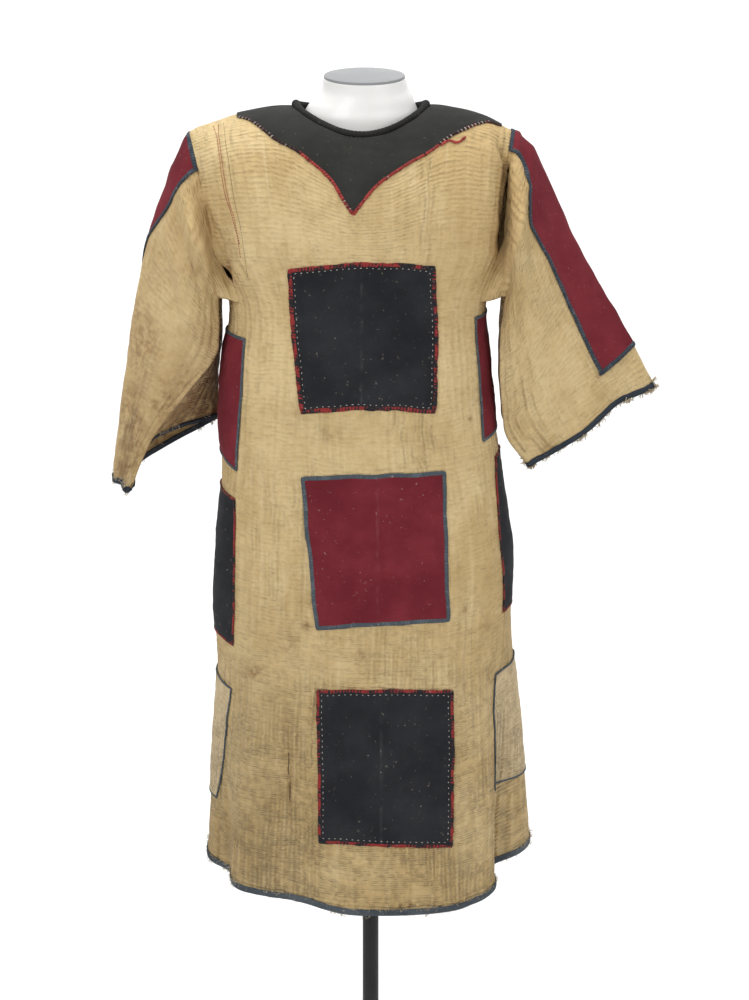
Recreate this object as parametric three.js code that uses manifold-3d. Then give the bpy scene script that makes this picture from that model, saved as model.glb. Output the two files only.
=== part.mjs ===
// A quilted patchwork tunic (jibbah) on a limbless dress form with a pole and a round foot.
// Millimetres, +Z up, the wearer's front towards -Y, origin in the middle of the foot's underside.
import * as THREE from "three";
import { mergeVertices } from "three/addons/utils/BufferGeometryUtils.js";
import Module from "manifold-3d";

const wasm = await Module();
wasm.setup();

// ---------------------------------------------------------------- driving sizes
const CLOTH = 2.4; // two layers of cotton quilted together
const SEAM = 0.4; // clear gap wherever two pieces meet
const PATCH = 0.9; // cloth laid on the quilting
const BIND = { width: 6, thickness: 1.8 }; // strip sewn round the edge of a patch
const HEM_BIND = { height: 8, thickness: 1.2 }; // strip folded over the hem and the cuffs
const COLLAR = 5.5; // radius of the rolled collar
const ROLL_GAP = 2.2; // the roll runs smoothly past the neckline's corners

const HEM = { front: 329, left: 48, right: 66, leftFront: 18, back: 14 }; // the rest are rises above it
const SIDE_RISE = 24; // how much the cloth's rows lift at the sides above the hem
const ARMPIT = 1135;
const CHEST = 1200;
const SHOULDER = { top: 1387, drop: 32, neckLeft: -104, neckRight: 79, left: -239, right: 187 };
const NECKLINE = { front: 76, back: 58 }; // how far the neck hole reaches from the shoulder ridge
const BACK_FULLNESS = 0.75; // below 1 the upper back stays full until near the ridge
const ARMHOLE_CREASE = { depth: 14, width: 0.08 }; // the cloth dips in along the armhole seam

// The tunic's level rings: how far they reach each way, and where the gores are sewn to the panels.
const BODY = [
  { z: 320, left: -224, right: 214, front: -157, back: 141, seamLeft: -213, seamRight: 188 },
  { z: 440, left: -219, right: 209, front: -151, back: 134, seamLeft: -209, seamRight: 186 },
  { z: 540, left: -214, right: 204, front: -146, back: 129, seamLeft: -202, seamRight: 182 },
  { z: 640, left: -207, right: 194, front: -142, back: 125, seamLeft: -195, seamRight: 178 },
  { z: 720, left: -210, right: 188, front: -139, back: 122, seamLeft: -192, seamRight: 178 },
  { z: 800, left: -206, right: 189, front: -136, back: 119, seamLeft: -189, seamRight: 178 },
  { z: 900, left: -199, right: 175, front: -134, back: 116, seamLeft: -184, seamRight: 165 },
  { z: 980, left: -202, right: 165, front: -133, back: 114, seamLeft: -178, seamRight: 153 },
  { z: 1060, left: -196, right: 157, front: -131, back: 112, seamLeft: -173, seamRight: 146 },
  { z: ARMPIT, left: -188, right: 154, front: -129, back: 110, seamLeft: -172, seamRight: 144 },
  { z: CHEST, left: -226, right: 192, front: -127, back: 108, seamLeft: -206, seamRight: 172 },
];
const SQUARENESS = 2.5; // 2 is an ellipse, and more is squarer

// Soft upright folds: where on the ring (0 right, -90 front), how wide and deep, and the heights where
// they run out and are full.
const FOLDS = [
  { name: "right front trough", at: -28, width: 9, depth: -36, out: 740, full: 330 },
  { name: "right side ridge", at: -4, width: 14, depth: 6, out: 620, full: 350 },
  { name: "left front trough", at: -153, width: 8, depth: -15, out: 640, full: 350 },
  { name: "left front ridge", at: -134, width: 8, depth: 7, out: 700, full: 340 },
  { name: "back right trough", at: 34, width: 8, depth: -12, out: 680, full: 360 },
  { name: "back right ridge", at: 62, width: 10, depth: 9, out: 820, full: 350 },
  { name: "back middle trough", at: 90, width: 10, depth: -10, out: 760, full: 350 },
  { name: "back left ridge", at: 114, width: 9, depth: 9, out: 800, full: 350 },
  { name: "back left trough", at: 147, width: 8, depth: -13, out: 700, full: 360 },
];

// The cloth's rows from the hem up, at each side, where the side patches begin and end.
const SIDE_ROWS = {
  left: [455, 530, 605, 668, 765, 862, 910, 1000, 1085, ARMPIT],
  right: [470, 547, 625, 702, 805, 908, 940, 1035, 1110, ARMPIT],
};
const SIDE_PATCHES = [
  { name: "lower", from: 1, to: 3, color: 0xb79f74 },
  { name: "middle", from: 4, to: 6, color: 0x30333a },
  { name: "upper", from: 7, to: 9, color: 0x77293a },
];
const CHEST_ROWS = 2; // rows between the armpit and the chest
const SHOULDER_ROWS = 7; // rows from the chest up to the ridge
const COLUMNS = { gore: 8, left: 5, neck: 8, right: 4 }; // the neck's are closer at its corners
const SIDE_LIFT = 0.8; // side patches bridge two seams, so they lie a little higher
const SIDE_LAP = 0.06; // how far a side patch reaches onto the panels, as a share of half a panel

// Patches of the front, as corners x and z; the back carries the same ones, mirrored.
const NAVY = 0x2f3136;
const MAROON = 0x7a2a3a;
const SLATE = 0x56616b;
const PATCHES = [
  { name: "upper", corners: [[-88, 998], [82, 998], [81, 1187], [-104, 1182]], color: NAVY, edge: 0x4b2c31 },
  { name: "middle", corners: [[-70, 713], [101, 722], [95, 917], [-88, 911]], color: MAROON, edge: SLATE },
  { name: "lower", corners: [[-67, 426], [107, 418], [107, 626], [-69, 629]], color: NAVY, edge: 0x3b3136 },
];
const YOKE = [[-176, 1375], [-155, 1370], [-117, 1344], [-96, 1334], [-71, 1316], [-49, 1296],
  [-33, 1270], [-22, 1255], [6, 1289], [31, 1307], [54, 1321], [77, 1333], [98, 1348], [119, 1358],
  [149, 1366], [172, 1361]];
const BACK_YOKE_DROP = 0.6; // the point of the yoke is shorter behind

// Sleeve rings from the shoulder to the cuff. Each passes the outer edge (x, z), the front fold and the
// underarm (x, y, z); its front and back bulge from the lines between them.
const SLEEVE_LEFT = [
  { at: 1, ox: -262, oz: 1308, fx: -202, fy: -66, fz: 1146,
    ux: -202, uy: 52, uz: 1148, front: 62, back: 52, lift: 0 },
  { at: 2, ox: -293, oz: 1212, fx: -202, fy: -58, fz: 1092,
    ux: -203, uy: 48, uz: 1096, front: 58, back: 50, lift: 0 },
  { at: 3, ox: -313, oz: 1125, fx: -211, fy: -58, fz: 1060,
    ux: -207, uy: 46, uz: 1058, front: 50, back: 44, lift: 0 },
  { at: 4, ox: -327, oz: 1040, fx: -248, fy: -58, fz: 1012,
    ux: -208, uy: 48, uz: 1022, front: 36, back: 38, lift: 3 },
  { at: 5, ox: -336, oz: 965, fx: -291, fy: -54, fz: 953,
    ux: -208, uy: 54, uz: 990, front: 22, back: 32, lift: 14 },
  { at: 6, ox: -343, oz: 893, fx: -322, fy: -48, fz: 884,
    ux: -206, uy: 62, uz: 967, front: 8, back: 30, lift: 40 },
];
const SLEEVE_RIGHT = [
  { at: 1, ox: 213, oz: 1333, fx: 180, fy: -64, fz: 1148,
    ux: 178, uy: 50, uz: 1148, front: 62, back: 50, lift: 0 },
  { at: 2, ox: 238, oz: 1280, fx: 175, fy: -60, fz: 1096,
    ux: 176, uy: 46, uz: 1098, front: 60, back: 48, lift: 0 },
  { at: 3, ox: 268, oz: 1212, fx: 175, fy: -58, fz: 1048,
    ux: 176, uy: 42, uz: 1050, front: 54, back: 44, lift: 0 },
  { at: 4, ox: 306, oz: 1146, fx: 178, fy: -52, fz: 1000,
    ux: 180, uy: 36, uz: 1004, front: 46, back: 40, lift: 0 },
  { at: 5, ox: 345, oz: 1082, fx: 186, fy: -44, fz: 956,
    ux: 190, uy: 28, uz: 962, front: 38, back: 34, lift: 0 },
  { at: 6, ox: 379, oz: 1017, fx: 214, fy: -34, fz: 916,
    ux: 218, uy: 20, uz: 922, front: 30, back: 28, lift: 0 },
];
const RING_KEYS = { front: 5, fold: 9, mid: 11, under: 17, back: 22 }; // columns of the ring's named points

const BANDS = {
  left: { from: -6, to: 1, first: 1, last: 5 },
  right: { from: -3, to: 3, first: 1, last: 6 },
};

const POLE = 11; // radius
const FOOT = { radius: 175, thickness: 12, bevel: 3 };
const FLANGE = { radius: 26, top: 32 };
const FORM_GAP = 0.4; // how near the cloth hangs on the form's shoulders
const NECK_CAP = 3.5; // thickness of the disc that closes the neck
const FORM = [
  { z: 800, x: -6, half: 112, front: 76, back: 80 },
  { z: 812, x: -6, half: 124, front: 84, back: 88 },
  { z: 870, x: -6, half: 146, front: 98, back: 96 },
  { z: 940, x: -6, half: 148, front: 98, back: 98 },
  { z: 1030, x: -6, half: 122, front: 88, back: 76 },
  { z: 1110, x: -8, half: 132, front: 104, back: 84 },
  { z: 1190, x: -12, half: 148, front: 112, back: 94 },
  { z: 1260, x: -16, half: 164, front: 124, back: 112 },
  { z: 1320, x: -22, half: 178, front: 140, back: 130 },
  { z: 1420, x: -22, half: 180, front: 140, back: 130 },
];
const NECK_HOLE = { x: -12.5, half: 91.5, front: 76, back: 58 };
const NECK = [
  { z: 1330, x: -12, half: 74, front: 57, back: 41, slope: 0 },
  { z: 1362, x: -12, half: 76, front: 57, back: 41, slope: 0.04 },
  { z: 1378, x: -12, half: 76, front: 57, back: 42, slope: 0.08 },
  { z: 1390, x: -11, half: 71, front: 55, back: 44, slope: 0.1 },
  { z: 1401, x: -8, half: 64, front: 54, back: 48, slope: 0.13 },
  { z: 1412, x: -7, half: 57, front: 53, back: 52, slope: 0.15 },
  { z: 1426, x: -8, half: 54, front: 53, back: 53, slope: 0.157 },
];

// ---------------------------------------------------------------- small helpers
const radians = THREE.MathUtils.degToRad;
const { lerp, clamp, smoothstep } = THREE.MathUtils;

// A smooth reading of one column of a table whose rows are in order of a key.
function read(table, key, column, at) {
  const last = table.length - 1;
  const slope = (i) => {
    const a = table[Math.max(i - 1, 0)];
    const b = table[Math.min(i + 1, last)];
    return (b[column] - a[column]) / (b[key] - a[key]);
  };
  let i = 0;
  while (i < last - 1 && at > table[i + 1][key]) i += 1;
  const [a, b] = [table[i], table[i + 1]];
  const span = b[key] - a[key];
  const t = clamp((at - a[key]) / span, 0, 1);
  const rise = b[column] - a[column];
  const bend = (1 - t) * (slope(i) * span - rise) - t * (slope(i + 1) * span - rise);
  return a[column] + rise * t + t * (1 - t) * bend;
}

function spread(from, to, count) {
  return Array.from({ length: count + 1 }, (_, i) => lerp(from, to, i / count));
}

// A grid holds columns of surface points, each with its outward normal. Columns times rows face outwards.
function gridOf(surface, us, vs) {
  const step = 1e-3;
  return us.map((u) =>
    vs.map((v) => {
      const alongU = surface(u + step, v).sub(surface(u - step, v));
      const alongV = surface(u, v + step).sub(surface(u, v - step));
      return { point: surface(u, v), normal: alongU.cross(alongV).normalize() };
    }),
  );
}

// The same grid seen from the other side, for surfaces whose columns run the other way.
const flipped = ({ point, normal }) => ({ point, normal: normal.clone().negate() });
const turned = (grid) => grid.map((column) => column.map(flipped)).reverse();

const offset = (grid, by) =>
  grid.map((column) => column.map(({ point, normal }) => point.clone().addScaledVector(normal, by)));

// A closed solid between two grids of points with the same columns and rows. When they are crossed, the
// inner one's cells are split the other way, as they are on a grid that was turned.
function slab(outer, inner, { round = false, crossed = false } = {}) {
  const [columns, rows] = [outer.length, outer[0].length];
  const positions = [inner, outer].flat(2).flatMap((point) => point.toArray());
  const at = (layer, i, j) => (layer * columns + (i % columns)) * rows + j;
  const faces = [];
  const quad = (a, b, c, d) => faces.push(a, b, c, a, c, d);
  const wide = round ? columns : columns - 1;
  for (let i = 0; i < wide; i += 1) {
    for (let j = 0; j < rows - 1; j += 1) {
      quad(at(1, i, j), at(1, i + 1, j), at(1, i + 1, j + 1), at(1, i, j + 1));
      if (crossed) quad(at(0, i, j + 1), at(0, i + 1, j + 1), at(0, i + 1, j), at(0, i, j));
      else quad(at(0, i, j), at(0, i, j + 1), at(0, i + 1, j + 1), at(0, i + 1, j));
    }
    quad(at(0, i, 0), at(0, i + 1, 0), at(1, i + 1, 0), at(1, i, 0));
    quad(at(1, i, rows - 1), at(1, i + 1, rows - 1), at(0, i + 1, rows - 1), at(0, i, rows - 1));
  }
  if (!round) {
    const end = columns - 1;
    for (let j = 0; j < rows - 1; j += 1) {
      quad(at(1, 0, j), at(1, 0, j + 1), at(0, 0, j + 1), at(0, 0, j));
      quad(at(0, end, j), at(0, end, j + 1), at(1, end, j + 1), at(1, end, j));
    }
  }
  return new THREE.BufferGeometry()
    .setAttribute("position", new THREE.Float32BufferAttribute(positions, 3))
    .setIndex(faces);
}

const cloth = (grid, round) => slab(offset(grid, CLOTH / 2), offset(grid, -CLOTH / 2), { round });

// A layer lying on a grid's outer side, from one height above it to another.
const layer = (grid, from, to) => slab(offset(grid, CLOTH / 2 + to), offset(grid, CLOTH / 2 + from));

function solidOf(geometry) {
  const bare = geometry.clone();
  for (const name of Object.keys(bare.attributes)) if (name !== "position") bare.deleteAttribute(name);
  const { attributes, index } = mergeVertices(bare, 1e-4);
  const vertProperties = new Float32Array(attributes.position.array);
  const triVerts = new Uint32Array(index.array);
  return new wasm.Manifold(new wasm.Mesh({ numProp: 3, vertProperties, triVerts }));
}

function geometryOf(solid) {
  const { vertProperties, triVerts } = solid.getMesh();
  return new THREE.BufferGeometry()
    .setAttribute("position", new THREE.BufferAttribute(vertProperties, 3))
    .setIndex(new THREE.BufferAttribute(triVerts, 1));
}

// A prism seen from the front as the given outline of x and z; side is -1 for the front half, 1 for the back.
function prism(outline, side) {
  const shape = new THREE.Shape(outline.map(([x, z]) => new THREE.Vector2(x, z)));
  const depth = 260;
  const solid = new THREE.ExtrudeGeometry(shape, { depth, bevelEnabled: false });
  return solidOf(solid.rotateX(Math.PI / 2).translate(0, side > 0 ? depth : 0, 0));
}

// An outline's corners moved out by a distance; open ends stay on their own level.
function widened(outline, by) {
  const points = outline.map(([x, z]) => new THREE.Vector2(x, z));
  const count = points.length;
  const out = (a, b) => {
    const along = b.clone().sub(a).normalize();
    return new THREE.Vector2(along.y, -along.x);
  };
  return points.map((point, i) => {
    const before = out(points[(i + count - 1) % count], point);
    const after = out(point, points[(i + 1) % count]);
    const corner = before.clone().add(after).normalize();
    const moved = point.clone().addScaledVector(corner, by / Math.max(corner.dot(before), 0.5));
    return moved.toArray();
  });
}

// ---------------------------------------------------------------- the body of the tunic
const body = (column, z) => read(BODY, "z", column, z);

function ringAt(z) {
  const [left, right] = [body("left", z), body("right", z)];
  return { middle: (left + right) / 2, half: (right - left) / 2 };
}

// Where the body is at an angle of its ring: 0 is right, -90 front, 90 back.
function bodyPoint(angle, z) {
  const { middle, half } = ringAt(z);
  const power = 2 / SQUARENESS;
  const [c, s] = [Math.cos(radians(angle)), Math.sin(radians(angle))];
  const depth = s < 0 ? -body("front", z) : body("back", z);
  const flat = new THREE.Vector2(
    half * Math.sign(c) * Math.abs(c) ** power,
    depth * Math.sign(s) * Math.abs(s) ** power,
  );
  let fold = 0;
  for (const { at, width, depth: deep, out, full } of FOLDS) {
    const off = THREE.MathUtils.euclideanModulo(angle - at + 180, 360) - 180;
    fold += deep * Math.exp(-((off / width) ** 2)) * smoothstep(out - z, 0, out - full);
  }
  flat.addScaledVector(flat.clone().normalize(), fold);
  return new THREE.Vector3(middle + flat.x, flat.y, z);
}

// The ring angle at which the body's front (side -1) or back (side 1) stands at a given x.
function angleAt(x, z, side) {
  const { middle, half } = ringAt(z);
  const share = clamp((x - middle) / half, -1, 1);
  const c = Math.sign(share) * Math.abs(share) ** (SQUARENESS / 2);
  return (side * 180 * Math.acos(c)) / Math.PI;
}

const sideways = (angle) => Math.cos(radians(angle)) ** 4;
function hemAt(angle) {
  const [c, s] = [Math.cos(radians(angle)), Math.sin(radians(angle))];
  const side = sideways(angle);
  const leftFront = s < 0 ? smoothstep(-c, 0, 0.4) * (1 - side) : 0;
  const hand = c < 0 ? HEM.left : HEM.right;
  return HEM.front + hand * side + HEM.leftFront * leftFront + HEM.back * Math.max(s, 0);
}

const ARMPIT_ROW = SIDE_ROWS.left.length;
const CHEST_ROW = ARMPIT_ROW + CHEST_ROWS;
const RIDGE_ROW = CHEST_ROW + SHOULDER_ROWS;

// The height of a row: share runs from the left side (0) to the right (1).
function rowHeight(row, share, angle) {
  const level = (k) => {
    if (k <= 0) return hemAt(angle);
    if (k > ARMPIT_ROW) return lerp(ARMPIT, CHEST, (k - ARMPIT_ROW) / CHEST_ROWS);
    const lift = k < ARMPIT_ROW ? SIDE_RISE * sideways(angle) * Math.min(1, (ARMPIT_ROW - k) / 3) : 0;
    return lerp(SIDE_ROWS.left[k - 1], SIDE_ROWS.right[k - 1], share) + lift;
  };
  const k = Math.floor(row);
  return lerp(level(k), level(k + 1), row - k);
}

function ridgeAt(x) {
  const { top, drop, neckLeft, neckRight, left, right } = SHOULDER;
  const share = x < 0 ? (x - neckLeft) / (left - neckLeft) : (x - neckRight) / (right - neckRight);
  return top - drop * Math.max(0, share) ** 1.9;
}

const shareAcross = (x) => (2 * (x - SHOULDER.left)) / (SHOULDER.right - SHOULDER.left) - 1;
const NECK_FROM = shareAcross(SHOULDER.neckLeft);
const NECK_TO = shareAcross(SHOULDER.neckRight);

// The front (side -1) or back (side 1) panel: u runs across it from -1 to 1, v counts rows from the hem up.
function panelPoint(u, v, side) {
  const share = (u + 1) / 2;
  const across = (z) => lerp(body("seamLeft", z), body("seamRight", z), share);
  const crease = ARMHOLE_CREASE.depth * Math.exp(-(((1 - Math.abs(u)) / ARMHOLE_CREASE.width) ** 2));
  if (v <= CHEST_ROW) {
    const level = rowHeight(Math.max(v, 0.5), share, -90);
    const z = rowHeight(v, share, angleAt(across(level), level, side));
    const point = bodyPoint(angleAt(across(z), z, side), z);
    point.y -= side * crease * smoothstep(z, ARMPIT, CHEST);
    return point;
  }
  const chest = bodyPoint(angleAt(across(CHEST), CHEST, side), CHEST);
  chest.y -= side * crease;
  const reach = side < 0 ? NECKLINE.front : NECKLINE.back;
  const round = clamp((2 * (u - NECK_FROM)) / (NECK_TO - NECK_FROM) - 1, -1, 1);
  const edgeY = Math.max(reach * Math.sqrt(1 - round ** 2), SEAM / 2);
  const fullness = side < 0 ? 1 : BACK_FULLNESS;
  const edge = Math.acos((edgeY / Math.abs(chest.y)) ** (1 / fullness));
  const turn = (edge * (v - CHEST_ROW)) / SHOULDER_ROWS;
  const rise = Math.sin(turn);
  const left = lerp(body("seamLeft", CHEST), SHOULDER.left, rise);
  const right = lerp(body("seamRight", CHEST), SHOULDER.right, rise);
  const x = lerp(left, right, share);
  const y = chest.y * Math.max(Math.cos(turn), 0) ** fullness;
  return new THREE.Vector3(x, y, CHEST + (ridgeAt(x) - CHEST) * rise);
}

// A gore: u runs from its front seam (-1) to its back seam (1), v counts rows from the hem to the armpit.
function gorePoint(u, v, hand) {
  const share = hand === "left" ? 0 : 1;
  const seam = hand === "left" ? "seamLeft" : "seamRight";
  const angleOf = (z) => {
    const front = angleAt(body(seam, z), z, -1);
    const back = angleAt(body(seam, z), z, 1);
    return lerp(front, hand === "left" ? back - 360 : back, (u + 1) / 2);
  };
  const level = rowHeight(Math.max(v, 0.5), share, -90);
  const z = rowHeight(v, share, angleOf(level));
  return bodyPoint(angleOf(z), z);
}

const PANEL_INSET = SEAM / 2 / 180; // half a seam as a share of half the piece
const GORE_INSET = SEAM / 2 / 70;
const LAST = 1 - PANEL_INSET;
const acrossNeck = (share) => lerp(NECK_FROM, NECK_TO, share);
const PANEL_US = [
  -LAST,
  ...spread(-1 + SIDE_LAP, NECK_FROM, COLUMNS.left),
  ...spread(0, 180, COLUMNS.neck).slice(1).map((turn) => acrossNeck((1 - Math.cos(radians(turn))) / 2)),
  ...spread(NECK_TO, 1 - SIDE_LAP, COLUMNS.right).slice(1),
  LAST,
];
const PANEL_VS = spread(0, RIDGE_ROW, RIDGE_ROW);
const GORE_US = spread(-1 + GORE_INSET, 1 - GORE_INSET, COLUMNS.gore);
const GORE_VS = spread(0, ARMPIT_ROW, ARMPIT_ROW);
const front = gridOf((u, v) => panelPoint(u, v, -1), PANEL_US, PANEL_VS);
const back = turned(gridOf((u, v) => panelPoint(u, v, 1), PANEL_US, PANEL_VS));
const goreLeft = turned(gridOf((u, v) => gorePoint(u, v, "left"), GORE_US, GORE_VS));
const goreRight = gridOf((u, v) => gorePoint(u, v, "right"), GORE_US, GORE_VS);

const model = new THREE.Group();
function add(name, geometry, color, roughness = 0.95, metalness = 0) {
  const mesh = new THREE.Mesh(geometry, new THREE.MeshStandardMaterial({ color, roughness, metalness }));
  mesh.name = name;
  model.add(mesh);
}
const COTTON = 0xc9b183;
add("front_panel", cloth(front), COTTON);
add("back_panel", cloth(back), COTTON);
add("gore_left", cloth(goreLeft), COTTON);
add("gore_right", cloth(goreRight), COTTON);

// ---------------------------------------------------------------- yoke, patches and their bindings
const strip = (grid, from, to) => solidOf(layer(grid, from, to));

function patch(name, outline, grid, side, color, edge) {
  const inner = prism(outline, side);
  const near = prism(widened(outline, SEAM), side);
  const far = prism(widened(outline, SEAM + BIND.width), side);
  add(name, geometryOf(strip(grid, SEAM, SEAM + PATCH).intersect(inner)), color);
  const ring = strip(grid, SEAM, SEAM + BIND.thickness).intersect(far.subtract(near));
  add(`${name}_binding`, geometryOf(ring), edge);
}

const backward = (outline) => outline.map(([x, z]) => [-36 - x, z]).reverse();
for (const { name, corners, color, edge } of PATCHES) {
  patch(`patch_front_${name}`, corners, front, -1, color, edge);
  patch(`patch_back_${name}`, backward(corners), back, 1, color, edge);
}

function yoke(name, vee, grid, side) {
  const upper = grid.map((column) => column.slice(ARMPIT_ROW));
  const closed = (line) => [[line[0][0], 1450], ...line, [line.at(-1)[0], 1450]];
  const whole = prism(closed(vee), side);
  const wide = (by) => {
    const line = widened(vee, by);
    line[0] = [vee[0][0] - by, vee[0][1] - by];
    line[line.length - 1] = [vee.at(-1)[0] + by, vee.at(-1)[1] - by];
    return prism(closed(line), side);
  };
  add(name, geometryOf(strip(upper, SEAM, SEAM + PATCH).intersect(whole)), 0x33342f);
  const piping = wide(SEAM + BIND.width).subtract(wide(SEAM));
  add(`${name}_piping`, geometryOf(strip(upper, SEAM, SEAM + BIND.thickness).intersect(piping)), 0x7d2f2e);
}
const shortened = ([x, z]) => [x, 1370 - (1370 - z) * BACK_YOKE_DROP];
yoke("yoke_front", YOKE, front, -1);
yoke("yoke_back", YOKE.map(shortened), back, 1);

// Side patches wrap each gore and lap onto the panels beside it, from one row of the cloth to another.
function sidePatch(hand, { name, from, to, color }) {
  const gore = hand === "left" ? goreLeft : goreRight;
  const [before, after] = hand === "left" ? [back, front] : [front, back];
  const joined = [before.at(-2), ...gore, after[1]].map((column) => column.slice(from, to + 1));
  add(`patch_side_${hand}_${name}`, layer(joined, SIDE_LIFT, SIDE_LIFT + PATCH), color);
}
for (const hand of ["left", "right"]) for (const row of SIDE_PATCHES) sidePatch(hand, row);

// ---------------------------------------------------------------- sleeves
// The armhole loop, from the ridge down the front, under the arm and up the back, with the way out of
// the seam.
function armhole(hand) {
  const left = hand === "left";
  const [frontEdge, frontBeside] = left ? front : [front.at(-1), front.at(-2)];
  const [backEdge, backBeside] = left ? [back.at(-1), back.at(-2)] : back;
  const gore = left ? [...goreLeft].reverse() : goreRight;
  const away = (near, far) => near.point.clone().sub(far.point).normalize();
  const loop = [];
  for (let row = RIDGE_ROW; row > ARMPIT_ROW; row -= 1)
    loop.push({ ...frontEdge[row], out: away(frontEdge[row], frontBeside[row]) });
  for (let i = 0; i < gore.length; i += 1)
    loop.push({ ...gore[i][ARMPIT_ROW], out: away(gore[i][ARMPIT_ROW], gore[i][ARMPIT_ROW - 1]) });
  for (let row = ARMPIT_ROW + 1; row <= RIDGE_ROW; row += 1)
    loop.push({ ...backEdge[row], out: away(backEdge[row], backBeside[row]) });
  const [first, last] = [loop[0], loop.pop()];
  first.point = first.point.clone().lerp(last.point, 0.5);
  first.normal = new THREE.Vector3(0, 0, 1);
  first.out = new THREE.Vector3(left ? -1 : 1, 0, 0);
  for (const i of [SHOULDER_ROWS + CHEST_ROWS, SHOULDER_ROWS + CHEST_ROWS + COLUMNS.gore])
    loop[i].out.add(new THREE.Vector3(left ? -1 : 1, 0, 0)).multiplyScalar(1.7);
  return loop;
}

function sleevePoint(table, loop, column, at) {
  const value = (name, row) => read(table, "at", name, row);
  const ring = (row) => {
    const outer = new THREE.Vector3(value("ox", row), 0, value("oz", row));
    const fold = new THREE.Vector3(value("fx", row), value("fy", row), value("fz", row));
    const under = new THREE.Vector3(value("ux", row), value("uy", row), value("uz", row));
    const belly = outer.clone().lerp(fold, 0.5);
    const rear = outer.clone().lerp(under, 0.5);
    const mid = fold.clone().lerp(under, 0.28);
    belly.y -= value("front", row);
    rear.y += value("back", row);
    mid.z += value("lift", row);
    return [outer, belly, fold, mid, under, rear];
  };
  const { front: belly, fold, mid, under, back: rear } = RING_KEYS;
  const keys = [0, belly, fold, mid, under, rear, loop.length];
  const wrapped = THREE.MathUtils.euclideanModulo(column, loop.length);
  let k = 0;
  while (wrapped > keys[k + 1]) k += 1;
  const t = (wrapped - keys[k]) / (keys[k + 1] - keys[k]);
  const points = ring(Math.max(at, 1));
  const knot = (i) => points[(i + points.length) % points.length];
  const ends = [knot(k), knot(k + 1)];
  const pull = (i) => knot(i + 1).clone().sub(knot(i - 1)).multiplyScalar(0.42);
  const [t2, t3] = [t * t, t * t * t];
  const place = ends[0].clone().multiplyScalar(2 * t3 - 3 * t2 + 1)
    .addScaledVector(ends[1], 3 * t2 - 2 * t3)
    .addScaledVector(pull(k), t3 - 2 * t2 + t)
    .addScaledVector(pull(k + 1), t3 - t2);
  if (at >= 1) return place;
  const i = Math.floor(wrapped);
  const here = loop[i].point.clone().lerp(loop[(i + 1) % loop.length].point, wrapped - i);
  return here.lerp(place, Math.max(at, 0) ** 0.8);
}

function sleeve(hand, table) {
  const loop = armhole(hand);
  const columns = loop.map((_, i) => i);
  const rows = [0, 0.5, 1, 2, 3, 4, 5, 6];
  const grid = gridOf((u, v) => sleevePoint(table, loop, u, v), columns, rows);
  grid.forEach((column, i) => {
    const { point, normal, out } = loop[i];
    if (hand === "left") for (const node of column) node.normal.negate();
    column[0] = { point: point.clone().addScaledVector(out, 1.4 * SEAM), normal };
  });
  const outwards = hand === "left" ? [...grid].reverse() : grid;
  add(`sleeve_${hand}`, cloth(outwards, true), COTTON);
  return grid;
}
const sleeveLeft = sleeve("left", SLEEVE_LEFT);
const sleeveRight = sleeve("right", SLEEVE_RIGHT);

// A band of another colour on each sleeve, between columns of its ring and rows of its length.
function band(hand, grid, { from, to, first, last }) {
  const columns = spread(from, to, to - from).map((i) => grid[(i + grid.length) % grid.length]);
  const part = columns.map((column) => column.slice(first, last + 1));
  add(`sleeve_band_${hand}`, layer(hand === "left" ? part.reverse() : part, SEAM, SEAM + PATCH), MAROON);
}
for (const [hand, grid] of [["left", sleeveLeft], ["right", sleeveRight]]) band(hand, grid, BANDS[hand]);

// ---------------------------------------------------------------- hem and cuff bindings
// A strip folded over a closed edge. Each stop of the edge has its point, normal and the way into the cloth.
function folded(edge) {
  const { height, thickness } = HEM_BIND;
  const near = CLOTH / 2 + 2 * SEAM;
  const far = near + thickness;
  const section = [[-near, height], [-near, -1.8 * SEAM], [near, -1.8 * SEAM], [near, height],
    [far, height], [far, -1.8 * SEAM - thickness], [-far, -1.8 * SEAM - thickness], [-far, height]];
  const corner = ({ point, normal, inward }, [out, up]) =>
    point.clone().addScaledVector(normal, out).addScaledVector(inward, up).toArray();
  const positions = edge.flatMap((place) => section.flatMap((spot) => corner(place, spot)));
  const at = (i, k) => (i % edge.length) * section.length + (k % section.length);
  const faces = [];
  for (let i = 0; i < edge.length; i += 1)
    for (let k = 0; k < section.length; k += 1)
      faces.push(at(i, k), at(i, k + 1), at(i + 1, k + 1), at(i, k), at(i + 1, k + 1), at(i + 1, k));
  return new THREE.BufferGeometry()
    .setAttribute("position", new THREE.Float32BufferAttribute(positions, 3))
    .setIndex(faces);
}
const stop = (edge, beside) => ({ ...edge, inward: beside.point.clone().sub(edge.point).normalize() });
const halfway = (a, b) =>
  a.map(({ point, normal }, i) => ({
    point: point.clone().lerp(b[i].point, 0.5),
    normal: normal.clone().add(b[i].normal).normalize(),
  }));
const pieces = [front, goreRight, back, goreLeft];
const hemColumns = pieces.flatMap((grid, i) => [
  ...grid.slice(1, -1).map((column) => column.slice(0, 2)),
  halfway(grid.at(-1).slice(0, 2), pieces[(i + 1) % 4][0].slice(0, 2)),
]);
add("hem_binding", folded(hemColumns.map((column) => stop(column[0], column[1]))), 0x3d444c);
add("cuff_binding_left", folded(sleeveLeft.map((column) => stop(column.at(-1), column.at(-2)))), 0x343b44);
const cuffRight = sleeveRight.map((column) => stop(column.at(-1), column.at(-2)));
add("cuff_binding_right", folded(cuffRight.reverse()), 0x2f3a4d);

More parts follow.
